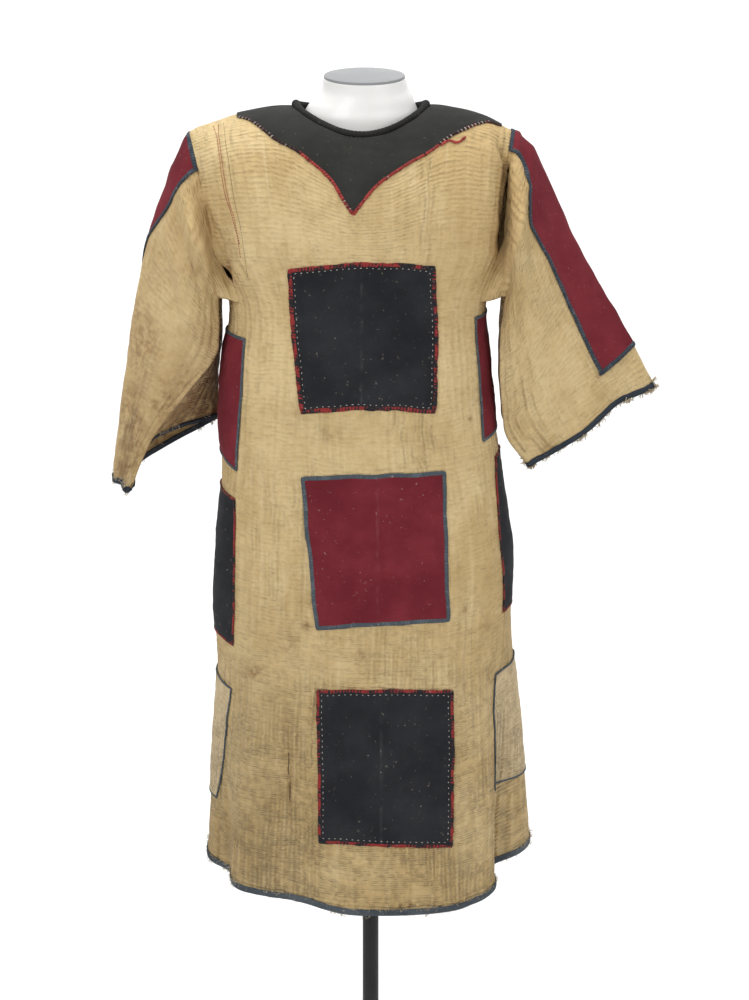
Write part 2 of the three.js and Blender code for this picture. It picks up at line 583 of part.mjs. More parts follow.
// ---------------------------------------------------------------- collar, dress form and stand
// A rolled strip that stands on the neckline's edge, all round.
const NECK_COLUMNS = [COLUMNS.left + 1, COLUMNS.left + 1 + COLUMNS.neck];
const neckFront = front.slice(NECK_COLUMNS[0], NECK_COLUMNS[1] + 1);
const neckBack = [...back].reverse().slice(NECK_COLUMNS[0] + 1, NECK_COLUMNS[1]).reverse();
const neckLoop = [...neckFront, ...neckBack].map((column) => column.at(-1));
const rollCentres = neckLoop.map(({ point, normal }, i) => {
  const next = neckLoop[(i + 1) % neckLoop.length].point;
  const previous = neckLoop.at(i - 1).point;
  const across = new THREE.Vector3().crossVectors(normal, next.clone().sub(previous)).normalize();
  return point.clone().addScaledVector(across, COLLAR + ROLL_GAP).addScaledVector(normal, 1.5);
});
const rollPath = new THREE.CatmullRomCurve3(rollCentres, true, "centripetal");
add("collar_roll", geometryOf(solidOf(new THREE.TubeGeometry(rollPath, 36, COLLAR, 6, true))), 0x2b2c29);

// A closed solid through level rings of points, with a flat end at each.
function loft(rings) {
  const count = rings[0].length;
  const total = (ring) => ring.reduce((sum, point) => sum.add(point), new THREE.Vector3());
  const middle = (ring) => total(ring).divideScalar(count);
  const points = [...rings.flat(), middle(rings[0]), middle(rings.at(-1))];
  const at = (j, i) => j * count + (i % count);
  const [bottom, top] = [rings.length * count, rings.length * count + 1];
  const faces = [];
  for (let i = 0; i < count; i += 1) {
    faces.push(bottom, at(0, i + 1), at(0, i), top, at(rings.length - 1, i), at(rings.length - 1, i + 1));
    for (let j = 0; j < rings.length - 1; j += 1) {
      faces.push(at(j, i), at(j, i + 1), at(j + 1, i + 1), at(j, i), at(j + 1, i + 1), at(j + 1, i));
    }
  }
  return new THREE.BufferGeometry()
    .setAttribute("position", new THREE.Float32BufferAttribute(points.flatMap((point) => point.toArray()), 3))
    .setIndex(faces);
}

function oval({ z, x = 0, half, front: fore, back: aft, slope = 0 }, count) {
  return spread(0, 360, count).slice(0, -1).map((angle) => {
    const [c, s] = [Math.cos(radians(angle)), Math.sin(radians(angle))];
    const y = (s < 0 ? fore : aft) * s;
    return new THREE.Vector3(x + half * c, y, z + slope * y);
  });
}

const inside = (grid) => offset(grid, -CLOTH / 2 - FORM_GAP).map((column) => column.slice(ARMPIT_ROW - 1));
const hollow = solidOf(slab(inside(front), inside([...back].reverse()), { crossed: true }));
const below = solidOf(new THREE.BoxGeometry(500, 400, 500).translate(0, 0, ARMPIT - 275));
const recess = solidOf(loft([1338, 1440].map((z) => oval({ ...NECK_HOLE, z }, 40))));
const bust = solidOf(loft(FORM.map((row) => oval(row, 26))));
const torso = bust.intersect(hollow.add(below)).subtract(recess);
add("form_torso", geometryOf(torso), 0xe6e3dc, 0.6);
const neck = solidOf(loft(NECK.map((row) => oval(row, 26)))).subtract(torso.translate(0, 0, SEAM));
add("form_neck", geometryOf(neck), 0xeceae6, 0.35);
const neckTop = NECK.at(-1);
const capRing = { ...neckTop, half: neckTop.half - 1, front: neckTop.front - 1, back: neckTop.back - 1 };
const capLevels = [SEAM, SEAM + NECK_CAP].map((up) => oval({ ...capRing, z: capRing.z + up }, 32));
add("form_neck_cap", loft(capLevels), 0x9a9c9e, 0.5);

const disc = (radius, z) => oval({ z, half: radius, front: radius, back: radius }, 40);
const poleEnds = [disc(POLE, FOOT.thickness + SEAM), disc(POLE, FORM[0].z - SEAM)];
add("stand_pole", loft(poleEnds), 0x2c2d2f, 0.45, 0.3);
const flange = solidOf(loft([disc(FLANGE.radius, FOOT.thickness + SEAM), disc(FLANGE.radius, FLANGE.top)]));
const flangeBore = solidOf(loft([disc(POLE + SEAM, 0), disc(POLE + SEAM, 100)]));
add("stand_flange", geometryOf(flange.subtract(flangeBore)), 0x2c2d2f, 0.45, 0.3);
const { radius, thickness, bevel } = FOOT;
const footTop = [disc(radius, thickness - bevel), disc(radius - bevel, thickness)];
add("stand_foot", loft([disc(radius - 1, 0), disc(radius, 1), ...footTop]), 0x2c2d2f, 0.45, 0.3);

export default model;
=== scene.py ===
import math
import bpy
import numpy as np
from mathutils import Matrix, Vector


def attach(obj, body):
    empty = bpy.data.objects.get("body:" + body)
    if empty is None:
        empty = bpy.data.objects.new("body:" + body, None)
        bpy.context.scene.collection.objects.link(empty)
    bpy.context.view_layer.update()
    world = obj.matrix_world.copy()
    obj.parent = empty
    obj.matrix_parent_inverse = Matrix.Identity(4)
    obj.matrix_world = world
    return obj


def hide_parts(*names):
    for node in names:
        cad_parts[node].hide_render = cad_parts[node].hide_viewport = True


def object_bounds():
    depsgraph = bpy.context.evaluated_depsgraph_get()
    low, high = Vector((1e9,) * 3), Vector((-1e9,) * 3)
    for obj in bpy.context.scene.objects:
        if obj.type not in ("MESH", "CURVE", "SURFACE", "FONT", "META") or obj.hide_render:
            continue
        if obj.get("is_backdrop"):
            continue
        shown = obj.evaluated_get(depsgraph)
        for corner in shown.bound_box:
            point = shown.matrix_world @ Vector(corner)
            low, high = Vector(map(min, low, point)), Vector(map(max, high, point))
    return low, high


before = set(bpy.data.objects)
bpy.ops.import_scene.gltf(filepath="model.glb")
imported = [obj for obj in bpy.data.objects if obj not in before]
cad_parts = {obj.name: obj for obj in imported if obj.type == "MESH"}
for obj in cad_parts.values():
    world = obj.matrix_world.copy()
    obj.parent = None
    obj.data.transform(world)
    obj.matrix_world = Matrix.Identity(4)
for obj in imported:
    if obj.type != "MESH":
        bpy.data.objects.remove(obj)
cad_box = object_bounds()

# ------------------------------------------------------------------ front and back panels
# The tunic's body is two long panels of beige cotton, each two layers quilted together by hand in
# close rows of running stitch. They hang from the shoulder ridge and meet the gores at the sides.
# Lengths in this file's tables are millimetres, as a cutter would note them; meshes are metres.
QUILT = 2.4
BODY = {
    "z": [320, 440, 540, 640, 720, 800, 900, 980, 1060, 1135, 1200],
    "left": [-224, -219, -214, -207, -210, -206, -199, -202, -196, -188, -226],
    "right": [214, 209, 204, 194, 188, 189, 175, 165, 157, 154, 192],
    "front": [-157, -151, -146, -142, -139, -136, -134, -133, -131, -129, -127],
    "back": [141, 134, 129, 125, 122, 119, 116, 114, 112, 110, 108],
    "seam_left": [-213, -209, -202, -195, -192, -189, -184, -178, -173, -172, -206],
    "seam_right": [188, 186, 182, 178, 178, 178, 165, 153, 146, 144, 172],
}
SQUARENESS = 2.5
FOLDS = {  # place on the ring (0 right, -90 front), half width, depth, and where it runs out and is full
    "right front trough": (-28, 9, -36, 740, 330),
    "right side ridge": (-4, 14, 6, 620, 350),
    "left front trough": (-153, 8, -15, 640, 350),
    "left front ridge": (-134, 8, 7, 700, 340),
    "back right trough": (34, 8, -12, 680, 360),
    "back right ridge": (62, 10, 9, 820, 350),
    "back middle trough": (90, 10, -10, 760, 350),
    "back left ridge": (114, 9, 9, 800, 350),
    "back left trough": (147, 8, -13, 700, 360),
}
HEM = {"front": 329, "left": 48, "right": 66, "left_front": 18, "back": 14}
ARMPIT, CHEST = 1135, 1200
SHOULDER = {"top": 1387, "drop": 32, "neck_left": -104, "neck_right": 79, "left": -239, "right": 187}
NECKLINE = {"front": 76, "back": 58}
BACK_FULLNESS = 0.75
ARMHOLE_CREASE = {"depth": 14, "width": 0.08, "left_runs_out": (1.2, 1.6), "right_swells": 17}


def ease(x, low, high):
    t = np.clip((x - low) / (high - low), 0, 1)
    return t * t * (3 - 2 * t)


def reading(table, column, at, key="z"):
    """A smooth reading of one line of a table at any place along its key."""
    x, y = np.array(table[key], float), np.array(table[column], float)
    last = len(x) - 1
    steps = np.arange(last + 1)
    before, after = np.maximum(steps - 1, 0), np.minimum(steps + 1, last)
    slope = (y[after] - y[before]) / (x[after] - x[before])
    at = np.clip(at, x[0], x[-1])
    i = np.clip(np.searchsorted(x, at, side="right") - 1, 0, last - 1)
    span, rise = x[i + 1] - x[i], y[i + 1] - y[i]
    t = (at - x[i]) / span
    bend = (1 - t) * (slope[i] * span - rise) - t * (slope[i + 1] * span - rise)
    return y[i] + rise * t + t * (1 - t) * bend


def body_point(angle, z):
    """Where the tunic's body is at an angle of its ring, in degrees, at a height."""
    left, right = reading(BODY, "left", z), reading(BODY, "right", z)
    c, s = np.cos(np.radians(angle)), np.sin(np.radians(angle))
    reach = np.where(s < 0, -reading(BODY, "front", z), reading(BODY, "back", z))
    x = (right - left) / 2 * np.sign(c) * np.abs(c) ** (2 / SQUARENESS)
    y = reach * np.sign(s) * np.abs(s) ** (2 / SQUARENESS)
    fold = 0
    for at, width, depth, out, full in FOLDS.values():
        off = (angle - at + 180) % 360 - 180
        fold = fold + depth * np.exp(-((off / width) ** 2)) * ease(out - z, 0, out - full)
    length = np.maximum(np.hypot(x, y), 1e-6)
    return np.stack([(left + right) / 2 + x + x / length * fold, y + y / length * fold, z + 0 * x], -1)


def angle_at(x, z, side):
    """The ring's angle where its front (side -1) or back (side 1) stands at x."""
    left, right = reading(BODY, "left", z), reading(BODY, "right", z)
    share = np.clip((x - (left + right) / 2) / ((right - left) / 2), -1, 1)
    c = np.sign(share) * np.abs(share) ** (SQUARENESS / 2)
    return side * np.degrees(np.arccos(c))


def hem_at(angle):
    c, s = np.cos(np.radians(angle)), np.sin(np.radians(angle))
    side = c**4
    lifted = np.where(s < 0, ease(-c, 0, 0.4) * (1 - side), 0)
    rise = np.where(c < 0, HEM["left"], HEM["right"]) * side
    return HEM["front"] + rise + HEM["left_front"] * lifted + HEM["back"] * np.maximum(s, 0)


def ridge_at(x):
    s = SHOULDER
    share = np.where(x < 0, (x - s["neck_left"]) / (s["left"] - s["neck_left"]),
                     (x - s["neck_right"]) / (s["right"] - s["neck_right"]))
    return s["top"] - s["drop"] * np.maximum(0, share) ** 1.9


def panel_point(u, t, side):
    """u runs across a panel from -1 to 1; t from the hem (0) past the chest (1) to the ridge (2)."""
    u, t = np.broadcast_arrays(np.asarray(u, float), np.asarray(t, float))
    share = (u + 1) / 2

    def across(z):
        low, high = reading(BODY, "seam_left", z), reading(BODY, "seam_right", z)
        return low + (high - low) * share

    low = np.full_like(u, 385.0)
    hem = hem_at(angle_at(across(low), low, side))
    z = hem + (CHEST - hem) * np.clip(t, 0, 1)
    hollow = ARMHOLE_CREASE
    crease = np.exp(-(((1 - np.abs(u)) / hollow["width"]) ** 2))
    kept = np.where(u < 0, 1 - 0.9 * ease(t, *hollow["left_runs_out"]), 1)
    swell = np.where(u > 0, hollow["right_swells"] * ease(t, 0.9, 1.05) * ease(-t, -1.7, -1.3), 0)
    crease = crease * (hollow["depth"] * kept + swell)
    below = body_point(angle_at(across(z), z, side), z)
    below[..., 1] -= side * crease * ease(z, ARMPIT, CHEST)
    level = np.full_like(u, float(CHEST))
    chest = body_point(angle_at(across(level), level, side), level)
    chest[..., 1] -= side * crease
    s = SHOULDER
    whole = s["right"] - s["left"]
    neck_from = 2 * (s["neck_left"] - s["left"]) / whole - 1
    neck_to = 2 * (s["neck_right"] - s["left"]) / whole - 1
    reach = NECKLINE["front"] if side < 0 else NECKLINE["back"]
    fullness = 1 if side < 0 else BACK_FULLNESS

    def edge_at(across):
        round_ = np.clip(2 * (across - neck_from) / (neck_to - neck_from) - 1, -1, 1)
        edge_y = np.maximum(reach * np.sqrt(1 - round_**2), 0.2)
        return np.arccos(np.clip(edge_y / np.abs(chest[..., 1]), 0, 1) ** (1 / fullness))

    soft_edge = sum(edge_at(u + step) for step in np.linspace(-0.2, 0.2, 9)) / 9
    edge = soft_edge + (edge_at(u) - soft_edge) * ease(t, 1.35, 1.95)
    turn = edge * np.clip(t - 1, 0, 1)
    rise = np.sin(turn)
    seam_left, seam_right = reading(BODY, "seam_left", CHEST), reading(BODY, "seam_right", CHEST)
    left = seam_left + (s["left"] - seam_left) * rise
    right = seam_right + (s["right"] - seam_right) * rise
    x = left + (right - left) * share
    y = chest[..., 1] * np.maximum(np.cos(turn), 0) ** fullness
    above = np.stack([x, y, CHEST + (ridge_at(x) - CHEST) * rise], -1)
    return np.where((t <= 1)[..., None], below, above)


def facing(points, closed=False):
    """Normals of a grid of points, columns by rows."""
    if closed:
        wrapped = np.concatenate([points[-1:], points, points[:1]])
        across = wrapped[2:] - wrapped[:-2]
    else:
        across = np.gradient(points, axis=0)
    normals = np.cross(across, np.gradient(points, axis=1))
    return normals / np.maximum(np.linalg.norm(normals, axis=-1, keepdims=True), 1e-9)


def tape(points, closed=False):
    """The cloth's own measure: metres across and along it at each point of its grid."""
    ring = np.concatenate([points, points[:1]]) if closed else points
    wide = np.linalg.norm(np.diff(ring, axis=0), axis=-1).mean(1)
    long = np.linalg.norm(np.diff(points, axis=1), axis=-1).mean(0)
    across = np.concatenate([[0], np.cumsum(wide)]) / 1000
    along = np.concatenate([[0], np.cumsum(long)]) / 1000
    return np.stack(np.meshgrid(across, along, indexing="ij"), -1)


def slow_waves(points, size, seed, amount=8):
    """Soft unevenness between -1 and 1 that changes over about the given size."""
    random = np.random.default_rng(seed)
    total = 0
    for _ in range(amount):
        way = random.normal(size=3)
        way /= np.linalg.norm(way) * size * random.uniform(0.7, 1.6) / (2 * math.pi)
        total = total + np.sin(points @ way + random.uniform(0, 6.28))
    return total / math.sqrt(amount * 2)


def set_out(name, shape):
    """Stands a mesh, lamp or camera in the scene under its name."""
    placed = bpy.data.objects.new(name, shape)
    bpy.context.scene.collection.objects.link(placed)
    return placed


def cloth_piece(name, points, thickness, closed=False, lift=0.0, soil_and_shade=None):
    """A thin closed shell of cloth on a grid whose columns by rows face outwards, and its flat cut."""
    normals = facing(points, closed)
    if np.ndim(lift):
        lift = lift[..., None]
    outer, inner = points + normals * (lift + thickness / 2), points + normals * (lift - thickness / 2)
    columns, rows = points.shape[:2]
    count = columns * rows
    wide = columns + 1 if closed else columns
    corner = np.arange(wide * rows).reshape(wide, rows)
    skin = np.stack([corner[:-1, :-1], corner[1:, :-1], corner[1:, 1:], corner[:-1, 1:]], -1).reshape(-1, 4)
    if closed:
        rims = [corner[:, 0], corner[::-1, -1]]
    else:
        rims = [np.concatenate([corner[:, 0], corner[-1, 1:], corner[-2::-1, -1], corner[0, -2::-1]])]
    edge = np.concatenate([np.stack([rim[:-1], rim[1:]], -1) for rim in rims])
    vertex_of = corner.reshape(-1) % count if closed else corner.reshape(-1)
    faces = np.concatenate([
        vertex_of[skin],
        vertex_of[skin[:, ::-1]] + count,
        np.stack([vertex_of[edge[:, 1]], vertex_of[edge[:, 0]],
                  vertex_of[edge[:, 0]] + count, vertex_of[edge[:, 1]] + count], -1),
    ])
    corners = np.concatenate([skin, skin[:, ::-1],
                              np.stack([edge[:, 1], edge[:, 0], edge[:, 0], edge[:, 1]], -1)])
    mesh = bpy.data.meshes.new(name)
    places = np.concatenate([outer.reshape(-1, 3), inner.reshape(-1, 3)]) / 1000
    mesh.from_pydata(places.tolist(), [], faces.tolist())
    measure = tape(points, closed)
    sheet = mesh.uv_layers.new(name="cloth")
    sheet.data.foreach_set("uv", measure.reshape(-1, 2)[corners.reshape(-1)].astype(np.float32).ravel())
    marks = mesh.attributes.new("soil_and_shade", "FLOAT", "POINT")
    stain_and_shade = np.zeros((columns, rows)) if soil_and_shade is None else soil_and_shade
    marks.data.foreach_set("value", np.tile(stain_and_shade.reshape(-1), 2).astype(np.float32))
    mesh.polygons.foreach_set("use_smooth", np.ones(len(mesh.polygons), bool))
    mesh.update()
    return set_out(name, mesh), flat_cut(points, closed)


def flat_cut(points, closed=False):
    """The width, length and area in metres of the flat piece that a grid is cut from."""
    ring = np.concatenate([points, points[:1]]) if closed else points
    wide = np.linalg.norm(np.diff(ring, axis=0), axis=-1).sum(0).max() / 1000
    long = np.linalg.norm(np.diff(points, axis=1), axis=-1).sum(1).max() / 1000
    first = np.cross(ring[1:, :-1] - ring[:-1, :-1], ring[:-1, 1:] - ring[:-1, :-1])
    second = np.cross(ring[:-1, 1:] - ring[1:, 1:], ring[1:, :-1] - ring[1:, 1:])
    area = (np.linalg.norm(first, axis=-1).sum() + np.linalg.norm(second, axis=-1).sum()) / 2e6
    return float(wide), float(long), float(area)


def finish_piece(piece, material, nodes=()):
    """Every piece of the part stands on the form, has its finish and stands for its solids."""
    piece.data.materials.clear()
    piece.data.materials.append(material)
    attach(piece, "root")
    if nodes:
        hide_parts(*nodes)


class Wire:
    """A socket of a material's node tree, so that its shading is written as sums."""

    def __init__(self, tree, socket):
        self.tree, self.socket = tree, socket

    def node(self, kind, settings=None, inputs=None, output=0):
        made = self.tree.nodes.new(kind)
        for name, value in (settings or {}).items():
            if name == "stops":
                for spot, (place, colour) in zip(made.color_ramp.elements, value):
                    spot.position, spot.color = place, (*colour, 1)
            else:
                setattr(made, name, value)
        for name, value in (inputs or {}).items():
            if isinstance(value, Wire):
                self.tree.links.new(value.socket, made.inputs[name])
            else:
                made.inputs[name].default_value = value
        return Wire(self.tree, made.outputs[output])

    def maths(self, operation, *values):
        return self.node("ShaderNodeMath", {"operation": operation}, dict(enumerate(values)))

    def __add__(self, other):
        return self.maths("ADD", self, other)

    def __radd__(self, other):
        return self.maths("ADD", other, self)

    def __sub__(self, other):
        return self.maths("SUBTRACT", self, other)

    def __rsub__(self, other):
        return self.maths("SUBTRACT", other, self)

    def __mul__(self, other):
        return self.maths("MULTIPLY", self, other)

    def __rmul__(self, other):
        return self.maths("MULTIPLY", other, self)

    def __truediv__(self, other):
        return self.maths("DIVIDE", self, other)

    def __pow__(self, other):
        return self.maths("POWER", self, other)

    def sine(self):
        return self.maths("SINE", self)

    def size(self):
        return self.maths("ABSOLUTE", self)


    def between(self, low, high):
        """0 below low, 1 above high, and smooth between them."""
        return self.node("ShaderNodeMapRange", {"interpolation_type": "SMOOTHSTEP"},
                         {"Value": self, "From Min": low, "From Max": high})

    def blend(self, first, second):
        """The first colour where this is 0 and the second where it is 1."""
        colour = lambda c: c if isinstance(c, Wire) else (*c, 1)
        return self.node("ShaderNodeMix", {"data_type": "RGBA"},
                         {0: self, 6: colour(first), 7: colour(second)}, 2)

    def stretched(self, across, along, shift=0.0):
        return self.node("ShaderNodeMapping", None,
                         {"Vector": self, "Scale": (across, along, 1), "Location": (shift, shift, 0)})

    def cloud(self, scale, detail=3.0, roughness=0.55):
        return self.node("ShaderNodeTexNoise", None,
                         {"Vector": self, "Scale": scale, "Detail": detail, "Roughness": roughness}, "Fac")


class Finish:
    """A material begun from its plain gloss, with its coordinates ready as wires."""

    def __init__(self, name, roughness, sheen=0.0, coat=0.0):
        self.material = bpy.data.materials.new(name)
        self.material.use_nodes = True
        tree = self.material.node_tree
        self.tree, self.shader = tree, tree.nodes["Principled BSDF"]
        self.shader.inputs["Roughness"].default_value = roughness
        self.shader.inputs["Sheen Weight"].default_value = sheen
        self.shader.inputs["Sheen Roughness"].default_value = 0.5
        self.shader.inputs["Coat Weight"].default_value = coat
        self.shader.inputs["Specular IOR Level"].default_value = 0.25
        start = Wire(tree, None)
        self.place = start.node("ShaderNodeTexCoord", None, None, "Object")
        self.cloth = start.node("ShaderNodeUVMap", {"uv_map": "cloth"})
        self.across = self.cloth.node("ShaderNodeSeparateXYZ", None, {0: self.cloth}, 0)
        self.along = self.cloth.node("ShaderNodeSeparateXYZ", None, {0: self.cloth}, 1)
        self.soil_and_shade = start.node("ShaderNodeAttribute", {"attribute_name": "soil_and_shade"}, None, "Fac")

    def show(self, colour, height=None, depth=0.001, roughness=None):
        self.tree.links.new(colour.socket, self.shader.inputs["Base Color"])
        if roughness is not None:
            self.tree.links.new(roughness.socket, self.shader.inputs["Roughness"])
        if height is not None:
            bump = height.node("ShaderNodeBump", None, {"Height": height, "Distance": depth, "Strength": 1.0})
            self.tree.links.new(bump.socket, self.shader.inputs["Normal"])
        return self.material


def quilted_cotton(name, seed, grime=0.0, faded=0.0):
    """Aged beige cotton quilted in short rows, with painted shade in its troughs, and brown stains and painted
    shade where the mark is.
    """
    finish = Finish(name, 0.92, sheen=0.04)
    place, across, along = finish.place, finish.across, finish.along
    sway = finish.cloth.cloud(11, 2, 0.5) * 7.0 + finish.cloth.stretched(60, 22, seed).cloud(1.0, 2) * 1.8
    rows = along * (1 / 0.0058) + sway * 0.42
    line = rows.maths("FLOOR", rows)
    chance = line.maths("FRACT", (line * 12.9898).sine() * 4375.85)
    dashes = across * (1 / 0.013) + chance * 7.0 + finish.cloth.stretched(90, 60, seed).cloud(1.0, 2) * 1.6
    swell = (rows * math.pi).sine() ** 2.0
    bead = (dashes * math.pi).sine() ** 2.0
    strength = finish.cloth.stretched(30, 60, seed + 1).cloud(1.0, 3, 0.6).between(0.3, 0.64)
    puckers = swell * (0.45 + bead * 0.55) * (0.12 + strength * 0.88)
    gather = (across * (2 * math.pi / 0.017) + finish.cloth.stretched(14, 9, seed).cloud(1.0, 3) * 15).sine()
    gather = gather * finish.cloth.stretched(12, 5, seed + 2).cloud(1.0, 2).between(0.42, 0.66)
    lumps = finish.cloth.stretched(95, 160, seed).cloud(1.0, 2, 0.5)
    weave = finish.cloth.stretched(1500, 900, seed).cloud(1.0, 1)
    streaks = finish.cloth.stretched(120, 6, seed).cloud(1.0, 3, 0.6)
    patches = place.cloud(5.5, 4, 0.6)
    blotches = place.cloud(24, 4, 0.65)
    level = place.node("ShaderNodeSeparateXYZ", None, {0: place}, 2)
    reach = place.node("ShaderNodeSeparateXYZ", None, {0: place}, 0)
    low = (0.86 - level).between(0.0, 0.45)
    columns = (across * (2 * math.pi / 0.0115) + finish.cloth.stretched(16, 7, seed).cloud(1.0, 3)
               * 9).sine() * 0.5 + 0.5
    channels = finish.cloth.stretched(13, 8, seed + 6).cloud(1.0, 2).between(0.36, 0.6) * (0.25 + low * 0.75)
    drawn = columns * channels
    height = puckers * (0.36 + low
                        * 0.9) + lumps * 0.75 + gather * 0.35 + drawn * 1.3 + weave * 0.08 + streaks * 0.4
    pale, tan, shade, brown = (0.72, 0.555, 0.295), (0.59, 0.425, 0.20), (0.40, 0.265, 0.11), (0.20, 0.10,
                                                                                               0.035)
    colour = patches.between(0.36, 0.66).blend(tan, pale)
    colour = (blotches.between(0.48, 0.7) * 0.34).blend(colour, (0.46, 0.315, 0.135))
    colour = (blotches.between(0.46, 0.3) * 0.3).blend(colour, (0.80, 0.64, 0.37))
    # Painted shade: the troughs of the quilted rows, the drawn channels and the low lumps are darkened towards
    # the shade colour, more so low on the skirt.
    colour = ((1 - puckers) * (0.13 + low * 0.16)).blend(colour, shade)
    colour = (channels * (1 - columns) * 0.36).blend(colour, shade)
    colour = (lumps.between(0.52, 0.34) * 0.2).blend(colour, shade)
    colour = (streaks.between(0.52, 0.8) * 0.3).blend(colour, shade)
    colour = (streaks.between(0.5, 0.22) * 0.3).blend(colour, (0.78, 0.64, 0.39))
    # Painted shade and dirt together: the cloth is darker low down, most of all on the left.
    low_dirt_and_shade = low * (0.07 + reach.between(-0.02, -0.17) * 0.3)
    colour = low_dirt_and_shade.blend(colour, (0.27, 0.185, 0.085))
    spots = place.cloud(26, 5, 0.7).between(0.58, 0.8) * place.cloud(3.1, 2).between(0.45, 0.62)
    colour = (spots * 0.5).blend(colour, brown)
    # The brown here is real stains, and painted shade where the marks cover the armhole creases and the left
    # sleeve's underside.
    mottled = finish.soil_and_shade * (place.cloud(75, 3, 0.7).between(0.38, 0.6) * 0.85 + 0.2)
    colour = (mottled.maths("MINIMUM", mottled, 0.92)).blend(colour, brown)
    if faded:
        colour = (blotches * 0.4 + faded).blend(colour, (0.74, 0.62, 0.43))
    if grime:
        colour = (place.cloud(16, 4).between(0.3, 0.75) * grime).blend(colour, (0.36, 0.215, 0.095))
    return finish.show(colour, height, 0.0038)


def marks_on(points, marks):
    """Stains and painted shade where a table of marks says: x, z, half width, half height and strength of
    each.
    """
    total = np.zeros(points.shape[:2])
    for x, z, wide, high, strength in marks:
        away = ((points[..., 0] - x) / wide) ** 2 + ((points[..., 2] - z) / high) ** 2
        total = np.maximum(total, strength * np.exp(-away))
    return total


FRONT_MARKS = [  # brown spots and soiled places, and painted shade by the armholes: x, z, half width, half height, strength
    (75, 960, 18, 16, 0.32), (62, 935, 9, 10, 0.4), (130, 985, 3.2, 3.2, 1.0), (143, 1010, 2.6, 2.6, 0.9),
    (124, 735, 4, 5, 0.95), (-108, 716, 6, 7, 0.75), (-84, 716, 5, 6, 0.7), (-80, 745, 4, 4, 0.6),
    (-12, 676, 7, 9, 0.6),
    (-107, 514, 2.8, 30, 1.0), (-106, 470, 2.6, 14, 0.7), (-153, 646, 9, 7, 0.7), (-110, 560, 5, 60, 0.35),
    (-104, 688, 12, 26, 0.35), (-125, 370, 3.4, 4.2, 1.0), (39, 338, 3, 4, 1.0), (53, 341, 3, 4, 0.9),
    (-55, 972, 40, 14, 0.22), (-86, 1000, 22, 12, 0.25),
    (150, 705, 8, 8, 0.4), (158, 640, 8, 12, 0.35), (40, 1245, 14, 5, 0.2), (-92, 860, 9, 16, 0.25),
    # Painted shade, not stains: the marks at x 172 to 178 darken the deep crease at the right armhole, and
    # those from x -189 on darken the folds and crevice at the left armhole.
    (-145, 655, 6, 7, 0.4), (110, 1215, 20, 6, 0.16), (173, 1238, 5, 26, 1.0), (173, 1170, 4, 40, 0.8),
    (178, 1300, 4, 14, 0.7), (172, 1330, 4, 14, 0.5), (-189, 1180, 4, 30, 0.6), (-221, 1284, 2.2, 12, 0.35),
    (-205, 1242, 3, 16, 0.3), (-196, 1214, 3, 18, 0.4),
    (-184, 1205, 10, 60, 0.35), (-181, 1125, 10, 40, 0.4), (-174, 1150, 26, 16, 0.2),
]
SLIT = {"x": -107, "low": 484, "high": 540}  # a tear along the grain, low on the left
CREASES = [  # long soft creases down the skirt: x at the hem and at the chest, half width, height
    (-150, -160, 5, 2.0), (-120, -128, 6, -2.0), (-98, -104, 4.5, 1.6), (-130, -141, 4.5, 1.4),
    (-76, -84, 7, -0.9),
    (112, 96, 7, 1.4), (134, 118, 6, -1.6), (30, 20, 9, 0.8), (60, 52, 8, -0.8), (152, 140, 5, 1.4),
]


def cloth_unevenness(points, seed):
    drift = points + slow_waves(points, 120, seed + 9, 5)[..., None] * 9
    rows = drift * np.array([0.35, 0.35, 1.0])
    return (slow_waves(points, 170, seed) * 1.1 + slow_waves(points, 48, seed + 1) * 0.55
            + slow_waves(rows, 17, seed + 2, 12) * 0.42)


ARMHOLE_FOLDS = [  # folds where the sleeves pull on the body: from x, z to x, z, half width, height
    (-226, 1308, -221, 1294, 2.4, -2.4), (-221, 1295, -225, 1277, 2.4, -2.0),
    (-230, 1282, -212, 1254, 3.0, -2.0),
    (-213, 1256, -196, 1219, 3.0, -3.0), (-197, 1222, -187, 1180, 3.4, -4.5),
    (-188, 1184, -184, 1150, 4.0, -5.5),
    (-222, 1286, -190, 1232, 6.5, 2.4), (-226, 1272, -209, 1236, 2.6, -1.6),
    (-210, 1238, -196, 1196, 2.6, -2.6),
    (-197, 1200, -189, 1160, 3.0, -4.0), (-216, 1242, -201, 1196, 3.0, 2.6),
    (166, 1346, 180, 1306, 4, -4.2), (178, 1304, 172, 1215, 4.6, -6.5), (171, 1222, 172, 1150, 3.6, -4.0),
    (188, 1334, 190, 1170, 6.5, 4.2), (152, 1290, 165, 1228, 6, 2.6), (150, 1340, 172, 1312, 5, 2.0),
]


def sloping_creases(points, table):
    total = np.zeros(points.shape[:2])
    flat = points[..., [0, 2]]
    for x0, z0, x1, z1, wide, high in table:
        start, run = np.array([x0, z0], float), np.array([x1 - x0, z1 - z0], float)
        length = np.hypot(*run)
        along = ((flat - start) @ run) / length**2
        off = ((flat - start) @ np.array([-run[1], run[0]])) / length
        total += high * np.exp(-((off / wide) ** 2)) * ease(along, -0.25, 0.15) * ease(-along, -1.25, -0.85)
    return total


def body_rise(points):
    """How far the tunic's body stands out of its plain shape: the same for every piece of it."""
    x, y, z = points[..., 0], points[..., 1], points[..., 2]
    total = cloth_unevenness(points, 3)
    share = np.clip((z - 330) / 910, 0, 1)
    for low_x, high_x, wide, high in CREASES:
        off = (x - (low_x + (high_x - low_x) * share)) / wide
        uneven = 0.6 + 0.4 * slow_waves(points, 150, int(abs(low_x)), 4)
        total = total + high * np.exp(-(off**2)) * uneven * (y < 0) * ease(1290 - z, 0, 80)
    total = total + sloping_creases(points, ARMHOLE_FOLDS) * (y < 0)
    tear = np.exp(-(((x - SLIT["x"]) / 3.0) ** 2)) * (y < 0)
    return total - 3.2 * tear * ease(z, SLIT["low"] - 12, SLIT["low"]) * ease(-z, -SLIT["high"] - 12,
                                                                              -SLIT["high"])


